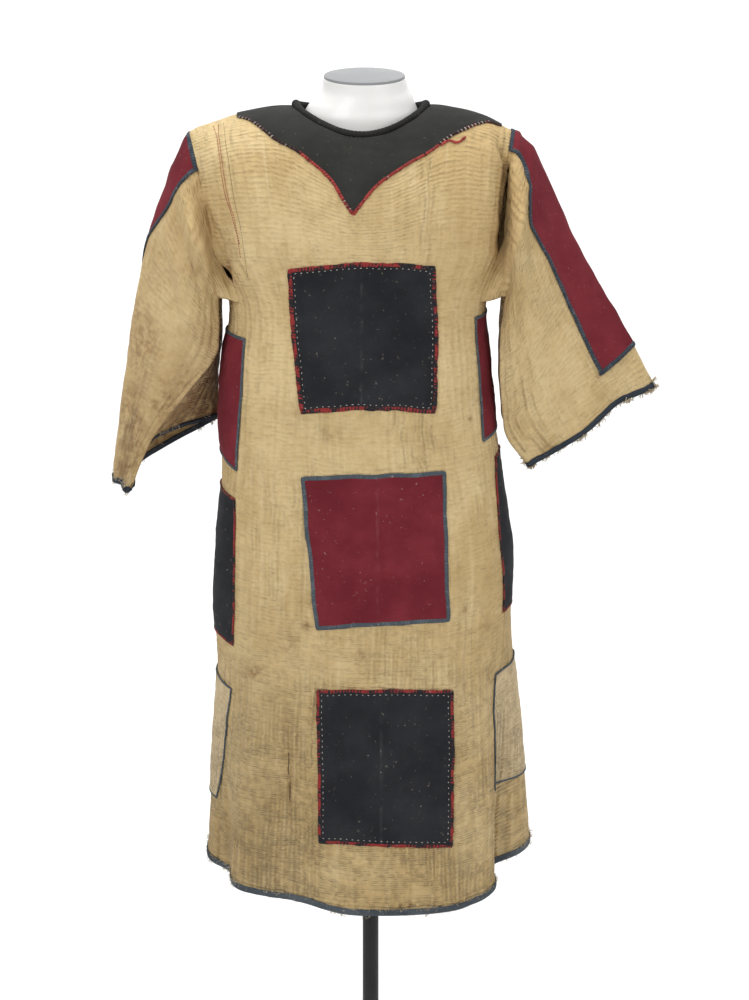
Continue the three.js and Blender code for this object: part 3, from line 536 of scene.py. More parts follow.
columns = 0.9995 * np.sin(np.linspace(-1.2, 1.2, 114)) / math.sin(1.2)  # closer together beside the seams
heights = np.concatenate([np.linspace(0, 1, 160), np.linspace(1, 1.998, 56)[1:]])
seam_pinch = -0.4 * np.exp(-(((1 - np.abs(columns)) / 0.012) ** 2))[:, None]
hem_loop = {}
for name, side, run, marks, seed in (
    ("front_panel", -1, 1, FRONT_MARKS, 0.0),
    ("back_panel", 1, -1, [(-60, 900, 30, 40, 0.25), (70, 520, 40, 60, 0.25), (20, 1260, 60, 30, 0.15)], 3.0),
):
    grid = panel_point(columns[::run, None], heights[None, :], side)
    surface = grid + facing(grid) * (body_rise(grid) + seam_pinch)[..., None]
    hem_loop[name] = surface[:, :6]
    panel, cut = cloth_piece(f"{name}_cloth", surface, QUILT, soil_and_shade=marks_on(grid, marks))
    finish_piece(panel, quilted_cotton(f"{name} quilted cotton", seed), [name])

# ------------------------------------------------------------------ gores
# A narrow quilted gore at each side runs from the hem to the armpit, its edges running a little into
# the panels' and sewn. It is the same cotton, and widens towards the hem so that the skirt flares.


def gore_point(u, t, hand):
    seam = "seam_left" if hand == "left" else "seam_right"

    def angle_of(z):
        edge = reading(BODY, seam, z)
        front_edge, back_edge = angle_at(edge, z, -1), angle_at(edge, z, 1)
        if hand == "left":
            back_edge = back_edge - 360
        return front_edge + (back_edge - front_edge) * (u + 1) / 2

    u, t = np.broadcast_arrays(np.asarray(u, float), np.asarray(t, float))
    hem = hem_at(angle_of(np.full_like(u, 385.0)))
    z = hem + (ARMPIT - hem) * t
    return body_point(angle_of(z), z)


for hand, run in (("left", -1), ("right", 1)):
    gore_columns = np.linspace(-1.025, 1.025, 44)[::run]
    grid = gore_point(gore_columns[:, None], np.linspace(0, 1, 130)[None, :], hand)
    pinch = -0.4 * np.exp(-(((1 - np.abs(gore_columns)) / 0.04) ** 2))[:, None]
    surface = grid + facing(grid) * (body_rise(grid) + pinch)[..., None]
    hem_loop[f"gore_{hand}"] = surface[1:-1, :6]
    gore, cut = cloth_piece(f"gore_{hand}_cloth", surface, QUILT)
    finish_piece(gore, quilted_cotton(f"gore {hand} quilted cotton", 5.0, 0.12),
                 [f"gore_{hand}"])

# ------------------------------------------------------------------ sleeves
# Each wide sleeve is one quilted cotton tube, lapped into the armhole and sewn. It hangs by its own
# weight, so its front lies in a fold from the underarm to the cuff and its mouth opens downwards.
SLEEVES = {
    "left": {
        "at": [1, 2, 3, 4, 5, 6],
        "ox": [-262, -293, -313, -327, -336, -343], "oz": [1308, 1212, 1125, 1040, 965, 893],
        "fx": [-202, -202, -211, -248, -291, -322], "fy": [-66, -58, -58, -58, -54, -48],
        "fz": [1146, 1092, 1060, 1012, 953, 884],
        "ux": [-202, -203, -207, -208, -208, -206], "uy": [52, 48, 46, 48, 54, 62],
        "uz": [1148, 1096, 1058, 1022, 990, 967],
        "front": [62, 58, 50, 36, 22, 8], "back": [52, 50, 44, 38, 32, 30], "lift": [0, 0, 0, 3, 14, 40],
    },
    "right": {
        "at": [1, 2, 3, 4, 5, 6],
        "ox": [213, 238, 268, 306, 345, 379], "oz": [1333, 1280, 1212, 1146, 1082, 1017],
        "fx": [180, 175, 175, 178, 186, 214], "fy": [-64, -60, -58, -52, -44, -34],
        "fz": [1148, 1096, 1048, 1000, 956, 916],
        "ux": [178, 176, 176, 180, 190, 218], "uy": [50, 46, 42, 36, 28, 20],
        "uz": [1148, 1098, 1050, 1004, 962, 922],
        "front": [62, 60, 54, 46, 38, 30], "back": [50, 48, 44, 40, 34, 28], "lift": [0, 0, 0, 0, 0, 0],
    },
}
RING = [0, 5, 9, 11, 17, 22, 26]  # outer edge, front, front fold, middle, underarm, back, and round again


def armhole_point(column, hand):
    """The armhole: from the ridge down the front, under the arm, and up the back."""
    edge = -0.998 if hand == "left" else 0.998
    column = np.asarray(column, float)
    down = np.where(column <= 13, column, 26 - column)
    over = 1 + np.clip(7 - down, 0, 7) / 7
    hem = hem_at(angle_at(np.full_like(down, -190.0 if hand == "left" else 165.0), 385.0, -1))
    straight = (CHEST + (ARMPIT - CHEST) * np.clip(down - 7, 0, 2) / 2 - hem) / (CHEST - hem)
    row = np.where(down < 7, over, straight)
    front_side, back_side = panel_point(edge, row, -1), panel_point(edge, row, 1)
    under = gore_point(np.clip((column - 9) / 4 - 1, -1, 1), 1.0, hand)
    place = np.where((column <= 13)[..., None], front_side, back_side)
    return np.where(((column > 9) & (column < 17))[..., None], under, place)


def sleeve_point(hand, column, at):
    """A sleeve's tube: column runs round its ring, 0 to 26, and at from the armhole (0) to the cuff (6)."""
    table = SLEEVES[hand]
    column, at = np.broadcast_arrays(np.asarray(column, float), np.asarray(at, float))
    value = lambda name: reading(table, name, np.maximum(at, 1), "at")
    outer = np.stack([value("ox"), 0 * at, value("oz")], -1)
    fold = np.stack([value("fx"), value("fy"), value("fz")], -1)
    under = np.stack([value("ux"), value("uy"), value("uz")], -1)
    belly, rear = (outer + fold) / 2, (outer + under) / 2
    middle = fold + (under - fold) * 0.28
    belly[..., 1] -= value("front")
    rear[..., 1] += value("back")
    middle[..., 2] += value("lift")
    knots = [outer, belly, fold, middle, under, rear]
    place = np.zeros(column.shape + (3,))
    wrapped = column % 26
    for k in range(6):
        t = ((wrapped - RING[k]) / (RING[k + 1] - RING[k]))[..., None]
        here = ((wrapped >= RING[k]) & (wrapped <= RING[k + 1]))[..., None]
        first, second = knots[k], knots[(k + 1) % 6]
        pull_a, pull_b = (second - knots[k - 1]) * 0.42, (knots[(k + 2) % 6] - first) * 0.42
        curve = (first * (2 * t**3 - 3 * t**2 + 1) + second * (3 * t**2 - 2 * t**3)
                 + pull_a * (t**3 - 2 * t**2 + t) + pull_b * (t**3 - t**2))
        place = np.where(here, curve, place)
    start = armhole_point(wrapped, hand)
    share = (np.clip(at, 0, 1) ** 0.8)[..., None]
    return start + (place - start) * share


SLEEVE_MARKS = {
    "left": [(-262, 990, 32, 60, 0.5), (-318, 960, 24, 70, 0.7), (-300, 1080, 26, 60, 0.55),
             (-330, 905, 16, 24, 0.7),
             (-290, 930, 20, 30, 0.6), (-285, 1000, 5, 9, 0.8), (-322, 912, 8, 6, 1.0),
             (-285, 1170, 20, 50, 0.3)],
    "right": [(250, 1190, 16, 26, 0.22), (240, 1130, 20, 30, 0.18), (330, 1010, 14, 12, 0.25),
              (232, 940, 16, 12, 0.35)],
}
SLEEVE_CREASES = {  # soft folds of the sleeve: from x, z to x, z, half width, height
    "left": [(-244, 1280, -216, 1196, 6, 2.6), (-256, 1256, -226, 1168, 4.5, -2.6),
             (-222, 1210, -206, 1150, 4, 3.0),
             (-268, 1230, -240, 1130, 6, 2.4), (-238, 1200, -216, 1120, 4, -2.6),
             (-268, 1180, -300, 1010, 9, -1.8), (-236, 1130, -262, 1040, 8, 1.8),
             (-250, 1060, -310, 940, 8, 1.4),
             (-290, 1240, -318, 1060, 9, 1.5), (-276, 1210, -244, 1110, 6, -2.2),
             (-300, 1120, -322, 960, 7, -1.4)],
    "right": [(203, 1250, 214, 1100, 6, -3.4), (190, 1352, 196, 1290, 5, 4.2), (193, 1300, 203, 1190, 6, 4.0),
              (182, 1300, 184, 1200, 4, -4.0), (222, 1230, 262, 1060, 11, 2.2),
              (205, 1180, 222, 1000, 8, 2.2),
              (250, 1190, 310, 1050, 10, -1.8), (232, 1120, 250, 960, 8, -1.8),
              (190, 1160, 196, 1020, 6, -2.0)],
}


def sleeve_surface(hand, column, at):
    """The sleeve with its creases, at columns and rows of its ring, with its outward normals."""
    grid = sleeve_point(hand, column, at)
    if hand == "right":
        raised = np.exp(-(((grid[..., 0] - 328) / 30) ** 2)) * ease(-grid[..., 1], 0, 16)
        grid[..., 2] += 12 * raised * ease(np.broadcast_to(at, grid.shape[:2]), 5.2, 6)
    lapped = 1 - ease(np.broadcast_to(at, grid.shape[:2]), 0, 0.1)
    grid[..., 0] += (3.5 if hand == "left" else -3.5) * lapped
    steady = ease(np.broadcast_to(at, grid.shape[:2]), 0, 0.22)
    turned = np.broadcast_to(column, grid.shape[:2]) % 26
    fold = 2.6 * np.exp(-(((turned - 9.0) / 0.35) ** 2)) - 3.4 * np.exp(-(((turned - 9.7) / 0.4) ** 2))
    own = cloth_unevenness(grid, 71) * 1.2 + sloping_creases(grid, SLEEVE_CREASES[hand]) * (grid[..., 1] < 10)
    own = own + fold * ease(np.broadcast_to(at, grid.shape[:2]), 1.2, 2.4)
    own = own + sloping_creases(grid, ARMHOLE_FOLDS) * (grid[..., 1] < 0)
    normals = facing(grid)
    return grid + normals * (own * steady + body_rise(grid) * (1 - steady))[..., None], normals


sleeve_columns = np.linspace(0, 26, 145)
sleeve_rows = np.concatenate([[0.001, 0.012], np.linspace(0.04, 1, 21)[:-1], np.linspace(1, 6, 86)])
cuff_loop = {}
for hand, run in (("left", -1), ("right", 1)):
    surface, _ = sleeve_surface(hand, sleeve_columns[::run, None], sleeve_rows[None, :])
    surface[0] = surface[-1] = (surface[0] + surface[-1]) / 2
    cuff_loop[hand] = surface[:-1, -6:][:, ::-1]
    soil_and_shade = marks_on(surface, SLEEVE_MARKS[hand])
    if hand == "left":
        # Painted shade: the left sleeve's underside beyond its front fold is darkened through the stain and
        # shade mark.
        turned = sleeve_columns[::run, None]
        inner = ease(turned, 9.2, 9.9) * ease(-turned, -18, -16.5) * ease(sleeve_rows[None, :], 1.6, 3.0)
        soil_and_shade = np.maximum(soil_and_shade, 0.8 * inner)
    soil_and_shade = soil_and_shade[:-1]
    sleeve, cut = cloth_piece(f"sleeve_{hand}_cloth", surface[:-1], QUILT, closed=True, soil_and_shade=soil_and_shade)
    cotton = quilted_cotton(f"sleeve {hand} quilted cotton", 7.0, 0.45 if hand == "left" else 0.1)
    finish_piece(sleeve, cotton, [f"sleeve_{hand}"])

# ------------------------------------------------------------------ yoke and its piping
# A plain black cotton yoke covers the shoulders and comes to a blunt point on the chest. It is laid
# over the quilted cloth, and a thin stitched piping of twisted red and black holds its edge.
TRIM = 0.9
YOKE_LEFT = {"x": [-176, -155, -117, -96, -71, -49, -33, -22],
             "z": [1375, 1370, 1344, 1334, 1316, 1296, 1270, 1255]}
YOKE_RIGHT = {"x": [-22, 6, 31, 54, 77, 98, 119, 149, 172],
              "z": [1255, 1289, 1307, 1321, 1333, 1348, 1358, 1366, 1361]}


def yoke_edge(x, side):
    left, right = reading(YOKE_LEFT, "z", x, "x"), reading(YOKE_RIGHT, "z", x, "x")
    z = np.where(x < YOKE_LEFT["x"][-1], left, right)
    return z if side < 0 else 1370 - (1370 - z) * 0.6


def first_past(values):
    """Where each line of values first rises past zero, as a share of its length."""
    over = values >= 0
    index = np.where(over.any(1), over.argmax(1), values.shape[1] - 1)
    index = np.maximum(index, 1)
    lines = np.arange(len(values))
    low, high = values[lines, index - 1], values[lines, index]
    step = np.clip(-low / np.where(high == low, 1, high - low), 0, 1)
    return (index - 1 + step) / (values.shape[1] - 1)


def dyed_cotton(name, dark, light, roughness=0.85, dust=0.2, weave=2100.0):
    """Plain dyed cotton: a fine weave, soft fading over the high places and a little pale dust."""
    finish = Finish(name, roughness, sheen=0.01)
    finish.shader.inputs["Specular IOR Level"].default_value = 0.12
    fading = finish.place.cloud(14, 4, 0.6)
    threads = (finish.across * weave).sine() * 0.5 + (finish.along * weave).sine() * 0.5
    creases = finish.cloth.stretched(40, 16).cloud(1.0, 3, 0.55)
    slubs = finish.cloth.stretched(60, 700).cloud(1.0, 2)
    colour = fading.between(0.3, 0.72).blend(dark, light)
    colour = (slubs.between(0.55, 0.75) * 0.25).blend(colour, tuple(c * 0.6 for c in dark))
    specks = finish.place.cloud(210, 2, 0.6).between(0.66, 0.8)
    colour = (specks * dust).blend(colour, (0.5, 0.43, 0.34))
    colour = (finish.soil_and_shade * 0.35).blend(colour, tuple(0.08 + c * 1.2 for c in light))
    height = threads * 0.03 + creases * 0.5 + slubs * 0.12
    return finish.show(colour, height, 0.0012)


def twisted_cord(name, first, second, share=0.5, fleck=(0.60, 0.56, 0.48), flecks=0.3, pitch=0.0042):
    """Edging cord: yarns of two colours twisted together, the first in uneven runs, with pale flecks."""
    finish = Finish(name, 0.82, sheen=0.02)
    turn = (finish.along * (2 * math.pi / pitch) + finish.across * 900 + finish.place.cloud(60, 2) * 5).sine()
    runs = finish.place.cloud(70, 3, 0.65)
    shown = (runs * 2.4 + turn * 0.12).between(1.02 + share * 0.4, 1.30 + share * 0.4)
    colour = shown.blend(first, second)
    worn = finish.place.cloud(320, 2)
    colour = (worn.between(0.55, 0.75) * 0.3).blend(colour, tuple(c * 0.5 for c in second))
    pale = finish.place.cloud(230, 2, 0.6).between(0.64, 0.72) * finish.place.cloud(33, 2).between(0.44, 0.6)
    colour = (pale * flecks).blend(colour, fleck)
    height = turn * 0.45 + worn * 0.5
    return finish.show(colour, height, 0.0006)


def measure_strip(mesh, u, v):
    """Smooth shading, and the metres across and along a strip at each corner of its faces."""
    mesh.uv_layers.new(name="cloth").data.foreach_set("uv", np.stack([u, v], -1).astype(np.float32).ravel())
    mesh.polygons.foreach_set("use_smooth", np.ones(len(mesh.polygons), bool))
    mesh.update()


def loop_metres(path):
    """How far along a closed loop of points each of them lies."""
    steps = np.diff(np.concatenate([path, path[:1]]), axis=0)
    return np.concatenate([[0], np.cumsum(np.linalg.norm(steps, axis=1))]) / 1000


def around(points):
    """The outer loop of a grid's points, once round."""
    return np.concatenate([points[:-1, 0], points[-1, :-1], points[:0:-1, -1], points[0, :0:-1]])


def edging(name, path, out, width, height, closed=False, sides=10, seed=0, uneven=0.08):
    """A flattened cord laid along a path, with its thickness along the way out of the cloth."""
    if closed:
        before, after = np.roll(path, 1, 0), np.roll(path, -1, 0)
    else:
        before, after = np.concatenate([path[:1], path[:-1]]), np.concatenate([path[1:], path[-1:]])
    along = after - before
    along /= np.linalg.norm(along, axis=1, keepdims=True)
    across = np.cross(out, along)
    across /= np.linalg.norm(across, axis=1, keepdims=True)
    out = np.cross(along, across)
    turn = np.linspace(0, 2 * math.pi, sides, endpoint=False)
    grow = 1 + uneven * slow_waves(path, 9, seed + 5, 8)
    if not closed:
        reach = np.minimum(np.arange(len(path)), np.arange(len(path))[::-1])
        grow = grow * np.clip(0.35 + reach / 3, 0, 1)
    ring = (across[:, None] * (np.cos(turn) * width / 2)[None, :, None]
            + out[:, None] * (np.sin(turn) * height / 2)[None, :, None]) * grow[:, None, None]
    points = (path[:, None] + ring) / 1000
    count, total = len(path), len(path) * sides
    rows = np.arange(count if closed else count - 1)
    i, k = np.meshgrid(rows, np.arange(sides), indexing="ij")
    at = lambda a, b: (a % count) * sides + b % sides
    faces = np.stack([at(i, k), at(i + 1, k), at(i + 1, k + 1), at(i, k + 1)], -1).reshape(-1, 4)
    length = loop_metres(path)
    girth = (width + height) * 0.0008
    u = np.stack([k, k, k + 1, k + 1], -1).reshape(-1) / sides * girth
    v = length[np.stack([i, i + 1, i + 1, i], -1).reshape(-1)]
    faces = faces.tolist()
    if not closed:
        faces += [list(range(sides))[::-1], list(range(total - sides, total))]
        faces[-2], faces[-1] = faces[-2][::-1], faces[-1][::-1]
        u, v = np.concatenate([u, np.zeros(2 * sides)]), np.concatenate([v, np.zeros(2 * sides)])
    mesh = bpy.data.meshes.new(name)
    mesh.from_pydata(points.reshape(-1, 3).tolist(), [], faces)
    measure_strip(mesh, u, v)
    return set_out(name, mesh)


def yoke_piping(name):
    """The piping's finish: red beside the point, black with pale stitches towards both shoulders."""
    finish = Finish(name, 0.82, sheen=0.02)
    uneven = finish.place.cloud(55, 3, 0.6) * 0.09
    along = finish.along + uneven - 0.045
    red = along.between(0.105, 0.135) * (1 - along.between(0.355, 0.385))
    tears = finish.place.cloud(120, 3, 0.65)
    red = (red * 1.25 - tears.between(0.52, 0.62) * 0.9).between(0.2, 0.6)
    faded = finish.place.cloud(150, 3).between(0.35, 0.65).blend((0.23, 0.026, 0.024), (0.40, 0.052, 0.042))
    colour = red.blend((0.030, 0.012, 0.012), faded)
    blush = (1 - red) * finish.place.cloud(85, 3).between(0.56, 0.66) * 0.6
    colour = blush.blend(colour, (0.21, 0.018, 0.018))
    stitch = (finish.along * (2 * math.pi / 0.0062)).sine().between(0.55, 0.9) * (1 - red)
    stitch = stitch * finish.place.cloud(30, 2).between(0.42, 0.56)
    flecks = finish.place.cloud(260, 2, 0.6).between(0.62, 0.7) * red * 0.4
    colour = (stitch.maths("MAXIMUM", stitch, flecks) * 0.85).blend(colour, (0.58, 0.54, 0.46))
    turn = (finish.along * (2 * math.pi / 0.0042) + finish.across * 900).sine()
    return finish.show(colour, turn * 0.45 + finish.place.cloud(320, 2) * 0.8, 0.0014)


black_cotton = dyed_cotton("black yoke cotton", (0.024, 0.024, 0.0215), (0.034, 0.034, 0.031), 0.8, 0.15)
red_piping = yoke_piping("red and black piping")
across_yoke = np.linspace(-0.704, 0.930, 170)
for word, side, run in (("front", -1, 1), ("back", 1, -1)):
    ladder = np.linspace(1, 1.998, 500)
    rungs = panel_point(across_yoke[:, None], ladder[None, :], side)
    low = 1 + first_past(rungs[..., 2] - yoke_edge(rungs[..., 0], side)) * 0.998
    shares = np.linspace(0, 1, 36)[None, :]
    rows = np.minimum(low, 1.985)[:, None] * (1 - shares) + 1.998 * shares
    grid = panel_point(across_yoke[::run, None], rows[::run], side)
    normals = facing(grid)
    puff = 0.45 * (1 + slow_waves(grid, 60, 15 + side)) * ease(np.linspace(0, 1, 36), 0, 0.15)[None, :]
    lift = body_rise(grid) + QUILT / 2 + 0.35 + TRIM / 2 + puff
    yoke, cut = cloth_piece(f"yoke_{word}_cloth", grid + normals * lift[..., None], TRIM)
    finish_piece(yoke, black_cotton, [f"yoke_{word}"])
    rim = grid[:, 0] + normals[:, 0] * (lift[:, 0] + 0.3)[:, None]
    piping = edging(f"yoke_{word}_piping_cord", rim, normals[:, 0], 4.2, 2.4, seed=side + 3, uneven=0.16)
    finish_piece(piping, red_piping, [f"yoke_{word}_piping"])

# ------------------------------------------------------------------ square patches
# Six large patches, three down the front and three down the back, are laid on the quilted cloth, and
# the navy ones are sewn down with white running stitch. Each is edged with a cord and joined from two widths
# of cloth.
PATCHES = {  # corners as x, z from the lower left round, the rise of each edge's middle, and the join
    "upper": {"corners": [(-88, 998), (82, 998), (81, 1187), (-104, 1182)], "bows": (7, 3, 6, -2), "join":
              -13,
              "cloth": "navy", "edge": "mottled", "wide": 5.6},
    "middle": {"corners": [(-70, 713), (101, 722), (95, 917), (-88, 911)], "bows": (2, 0, 1, 0), "join": 8,
               "cloth": "maroon", "edge": "slate", "wide": 5.6},
    "lower": {"corners": [(-67, 426), (107, 418), (107, 626), (-69, 629)], "bows": (0, 1, 2, 0), "join": 13,
              "cloth": "navy", "edge": "mottled", "wide": 4.2},
}
navy_cotton = dyed_cotton("navy cotton", (0.0165, 0.0170, 0.0205), (0.029, 0.030, 0.034), 0.88, 0.35)
maroon_cotton = dyed_cotton("maroon cotton", (0.135, 0.0145, 0.022), (0.200, 0.026, 0.036), 0.88, 0.3)
mottled_cord = twisted_cord("red and black edging", (0.27, 0.028, 0.026), (0.016, 0.016, 0.019), 0.1,
                            flecks=0.25)
dark_cord = twisted_cord("dark slate edging", (0.036, 0.044, 0.058), (0.066, 0.080, 0.096), 0.5, flecks=0.2)
slate_cord = twisted_cord("slate edging", (0.066, 0.082, 0.098), (0.100, 0.122, 0.138), 0.5, flecks=0.35)
CLOTHS = {"navy": (navy_cotton, "navy_cloth"), "maroon": (maroon_cotton, "maroon_cloth")}
EDGES = {"mottled": (mottled_cord, "mottled_edging"), "slate": (slate_cord, "slate_binding")}


def patch_place(corners, bows, a, b):
    """x and z on a patch: a runs across it and b up it, from 0 to 1."""
    (x0, z0), (x1, z1), (x2, z2), (x3, z3) = corners
    low, right, top, left = bows
    x = x0 * (1 - a) * (1 - b) + x1 * a * (1 - b) + x2 * a * b + x3 * (1 - a) * b
    z = z0 * (1 - a) * (1 - b) + z1 * a * (1 - b) + z2 * a * b + z3 * (1 - a) * b
    z = z + 4 * a * (1 - a) * (low * (1 - b) + top * b)
    x = x + 4 * b * (1 - b) * (right * a + left * (1 - a))
    return x, z


def on_body(x, z, side, lift):
    """A point of the tunic's body at x and z, raised off its cloth, with its outward normal."""
    base = lambda dx, dz: body_point(angle_at(x + dx, z + dz, side), z + dz)
    across, up = base(0.5, 0) - base(-0.5, 0), base(0, 0.5) - base(0, -0.5)
    normal = np.cross(across, up) * -side
    normal /= np.linalg.norm(normal, axis=-1, keepdims=True)
    place = base(0, 0)
    return place + normal * (body_rise(place) + lift)[..., None], normal


def sewing_net(name, lengths):
    """An empty sewing net and its inputs: the lines, a few lengths, a seed and the thread's finish."""
    tree = bpy.data.node_groups.new(name, "GeometryNodeTree")
    tree.interface.new_socket("Geometry", in_out="OUTPUT", socket_type="NodeSocketGeometry")
    kinds = {"Geometry": "Geometry", **dict.fromkeys(lengths, "Float"), "Seed": "Int", "Material": "Material"}
    for label, kind in kinds.items():
        tree.interface.new_socket(label, in_out="INPUT", socket_type="NodeSocket" + kind)
    outputs = tree.nodes.new("NodeGroupInput").outputs
    return tree, {socket.name: Wire(tree, socket) for socket in outputs if socket.name}


def sewn_copies(tree, given, points, shape, turn, size):
    """The end of a sewing net: one copy of a shape on each point, made real and given its finish."""
    copies = points.node("GeometryNodeInstanceOnPoints", None,
                         {"Points": points, "Instance": shape, "Rotation": turn, "Scale": size})
    copies = copies.node("GeometryNodeRealizeInstances", None, {0: copies})
    copies = copies.node("GeometryNodeSetShadeSmooth", None, {0: copies})
    copies = copies.node("GeometryNodeSetMaterial", None, {"Geometry": copies, "Material": given["Material"]})
    tree.links.new(copies.socket, tree.nodes.new("NodeGroupOutput").inputs[0])
    return tree


def stitch_net():
    """Running stitch: short rounded stitches, evenly spaced along lines and lying along them."""
    tree, given = sewing_net("running stitch", ("Spacing", "Stitch", "Thread"))
    line = given["Geometry"].node("GeometryNodeMeshToCurve", None, {"Mesh": given["Geometry"]})
    line = line.node("GeometryNodeResampleCurve", {"mode": "LENGTH"},
                     {"Curve": line, "Length": given["Spacing"]})
    way = line.node("GeometryNodeInputTangent")
    out = line.node("GeometryNodeInputNamedAttribute", {"data_type": "FLOAT_VECTOR"}, {"Name": "out"})
    lie = line.node("FunctionNodeAxesToRotation", {"primary_axis": "Z", "secondary_axis": "X"},
                    {0: way, 1: out})
    sway = line.node("FunctionNodeRandomValue", {"data_type": "FLOAT_VECTOR"},
                     {"Min": (0, -0.06, -0.2), "Max": (0, 0.06, 0.2), "Seed": given["Seed"]})
    lie = line.node("FunctionNodeRotateRotation", {"rotation_space": "LOCAL"}, {0: lie, 1: sway})
    vary = line.node("FunctionNodeRandomValue", {"data_type": "FLOAT"},
                     {2: 0.7, 3: 1.15, "Seed": given["Seed"]}, 1)
    size = line.node("ShaderNodeCombineXYZ", None,
                     {0: given["Thread"] * 0.8, 1: given["Thread"], 2: given["Stitch"] * vary})
    bead = line.node("GeometryNodeMeshUVSphere", None, {"Segments": 6, "Rings": 5, "Radius": 0.5})
    return sewn_copies(tree, given, line, bead, lie, size)


def sewn_mesh(name, tree, lines, values, material):
    """Runs a sewing net on lines of points and their ways out, and keeps the result as a plain mesh."""
    places, outs, edges = [], [], []
    for points, out, closed in lines:
        first = len(places)
        places += (np.asarray(points) / 1000).tolist()
        outs += np.asarray(out).tolist()
        count = len(points)
        edges += [(first + k, first + (k + 1) % count) for k in range(count if closed else count - 1)]
    mesh = bpy.data.meshes.new(name)
    mesh.from_pydata(places, edges, [])
    mesh.attributes.new("out", "FLOAT_VECTOR", "POINT").data.foreach_set("vector",
                                                                         np.array(outs, np.float32).ravel())
    holder = set_out(name + "_lines", mesh)
    sewing = holder.modifiers.new("sewing", "NODES")
    sewing.node_group = tree
    for item in tree.interface.items_tree:
        if item.in_out == "INPUT" and item.name in values:
            sewing[item.identifier] = values[item.name]
        if item.in_out == "INPUT" and item.name == "Material":
            sewing[item.identifier] = material
    ready = holder.evaluated_get(bpy.context.evaluated_depsgraph_get())
    made = bpy.data.meshes.new_from_object(ready)
    bpy.data.objects.remove(holder)
    return set_out(name, made)


def thread_finish(name, colour, dark):
    """Cotton sewing thread, a little fuzzy, lighter and darker along its length."""
    finish = Finish(name, 0.85)
    shade = finish.place.cloud(120, 3)
    return finish.show(shade.between(0.3, 0.7).blend(dark, colour), finish.place.cloud(900, 2), 0.0003)


white_thread = thread_finish("white thread", (0.56, 0.53, 0.47), (0.36, 0.33, 0.28))
running_stitch = stitch_net()
stitch_lines = []
for place, patch in PATCHES.items():
    for word, side in (("front", -1), ("back", 1)):
        corners = patch["corners"]
        bows = patch["bows"]
        join = patch["join"]
        if side > 0:
            corners = [(-36 - x, z) for x, z in (corners[1], corners[0], corners[3], corners[2])]
            bows = (bows[0], -bows[3], bows[2], -bows[1])
            join = -36 - join
        cloth, edge = CLOTHS[patch["cloth"]], EDGES[patch["edge"]]
        steps_a, steps_b = np.linspace(0, 1, 72), np.linspace(0, 1, 80)
        order = steps_a if side < 0 else steps_a[::-1]
        x, z = patch_place(corners, bows, order[:, None], steps_b[None, :])
        wobble = np.stack([x, 0 * x, z], -1)
        x = x + 0.9 * slow_waves(wobble, 45, 91)
        z = z + 0.9 * slow_waves(wobble, 45, 92)
        off = x - join
        fold = 0.55 * np.exp(-(((off - 1.6) / 1.6) ** 2)) - 0.25 * np.exp(-((off / 0.9) ** 2))
        away = np.minimum(np.minimum(order[:, None], 1 - order[:, None]) * 170,
                          np.minimum(steps_b, 1 - steps_b)[None, :] * 195)
        puff = 0.5 * (1 + slow_waves(wobble, 38, 93)) * ease(away, 6,
                                                             22) - 0.25 * np.exp(-(((away - 6) / 2) ** 2))
        surface, normals = on_body(x, z, side, QUILT / 2 + 0.45 + TRIM / 2 + fold + puff + 0.25)
        wear = np.exp(-(((off - 1.4) / 1.5) ** 2)) * (0.3 + 0.5 * slow_waves(wobble, 14, 95))
        piece, cut = cloth_piece(f"patch_{word}_{place}_cloth", surface, TRIM, soil_and_shade=np.clip(wear, 0, 1))
        finish_piece(piece, cloth[0], [f"patch_{word}_{place}"])
        rim = around(surface)
        rim_out = around(normals)
        cord = edging(f"patch_{word}_{place}_edging", rim + rim_out * 0.25, rim_out, patch["wide"], 2.0,
                      closed=True, seed=side + 7,
                       uneven=0.2 if patch["edge"] == "mottled" else 0.08)
        finish_piece(cord, edge[0], [f"patch_{word}_{place}_binding"])
        if patch["cloth"] != "navy":
            continue
        inner, inner_out = surface[2:-2, 2:-2], normals[2:-2, 2:-2]
        ring = around(inner)
        ring_out = around(inner_out)
        stitch_lines.append((ring + ring_out * 0.6, ring_out, True))
patch_stitches = sewn_mesh("patch_stitches", running_stitch, stitch_lines,
                           {"Spacing": 0.0078, "Stitch": 0.0026, "Thread": 0.0011, "Seed": 4}, white_thread)
finish_piece(patch_stitches, white_thread)

# ------------------------------------------------------------------ stitching beside the left armhole
# Two rows of red thread run down beside the left armhole, and a thin row of dark thread next to them.
# All are cotton, sewn by hand through the quilted cotton of the front panel.
SHOULDER_ROWS = {  # x and z from the shoulder down
    "red": [[(-206, 1363), (-201, 1351), (-196, 1322), (-193, 1300), (-189, 1278), (-181, 1256), (-172, 1222),
             (-169, 1198)],
            [(-200, 1365), (-197, 1345), (-193, 1318), (-189, 1295), (-184, 1270), (-177, 1250),
             (-170, 1216)]],
    "dark": [[(-193, 1367), (-189, 1345), (-184, 1318), (-177, 1272), (-169, 1240), (-163, 1200),
              (-160, 1172)]],
}
across_shoulder, up_shoulder = np.linspace(-0.99, -0.55, 120), np.linspace(0.85, 1.95, 260)
shoulder = panel_point(across_shoulder[:, None], up_shoulder[None, :], -1)
shoulder_out = facing(shoulder)
shoulder = shoulder + shoulder_out * (body_rise(shoulder) + QUILT / 2 + 0.15)[..., None]


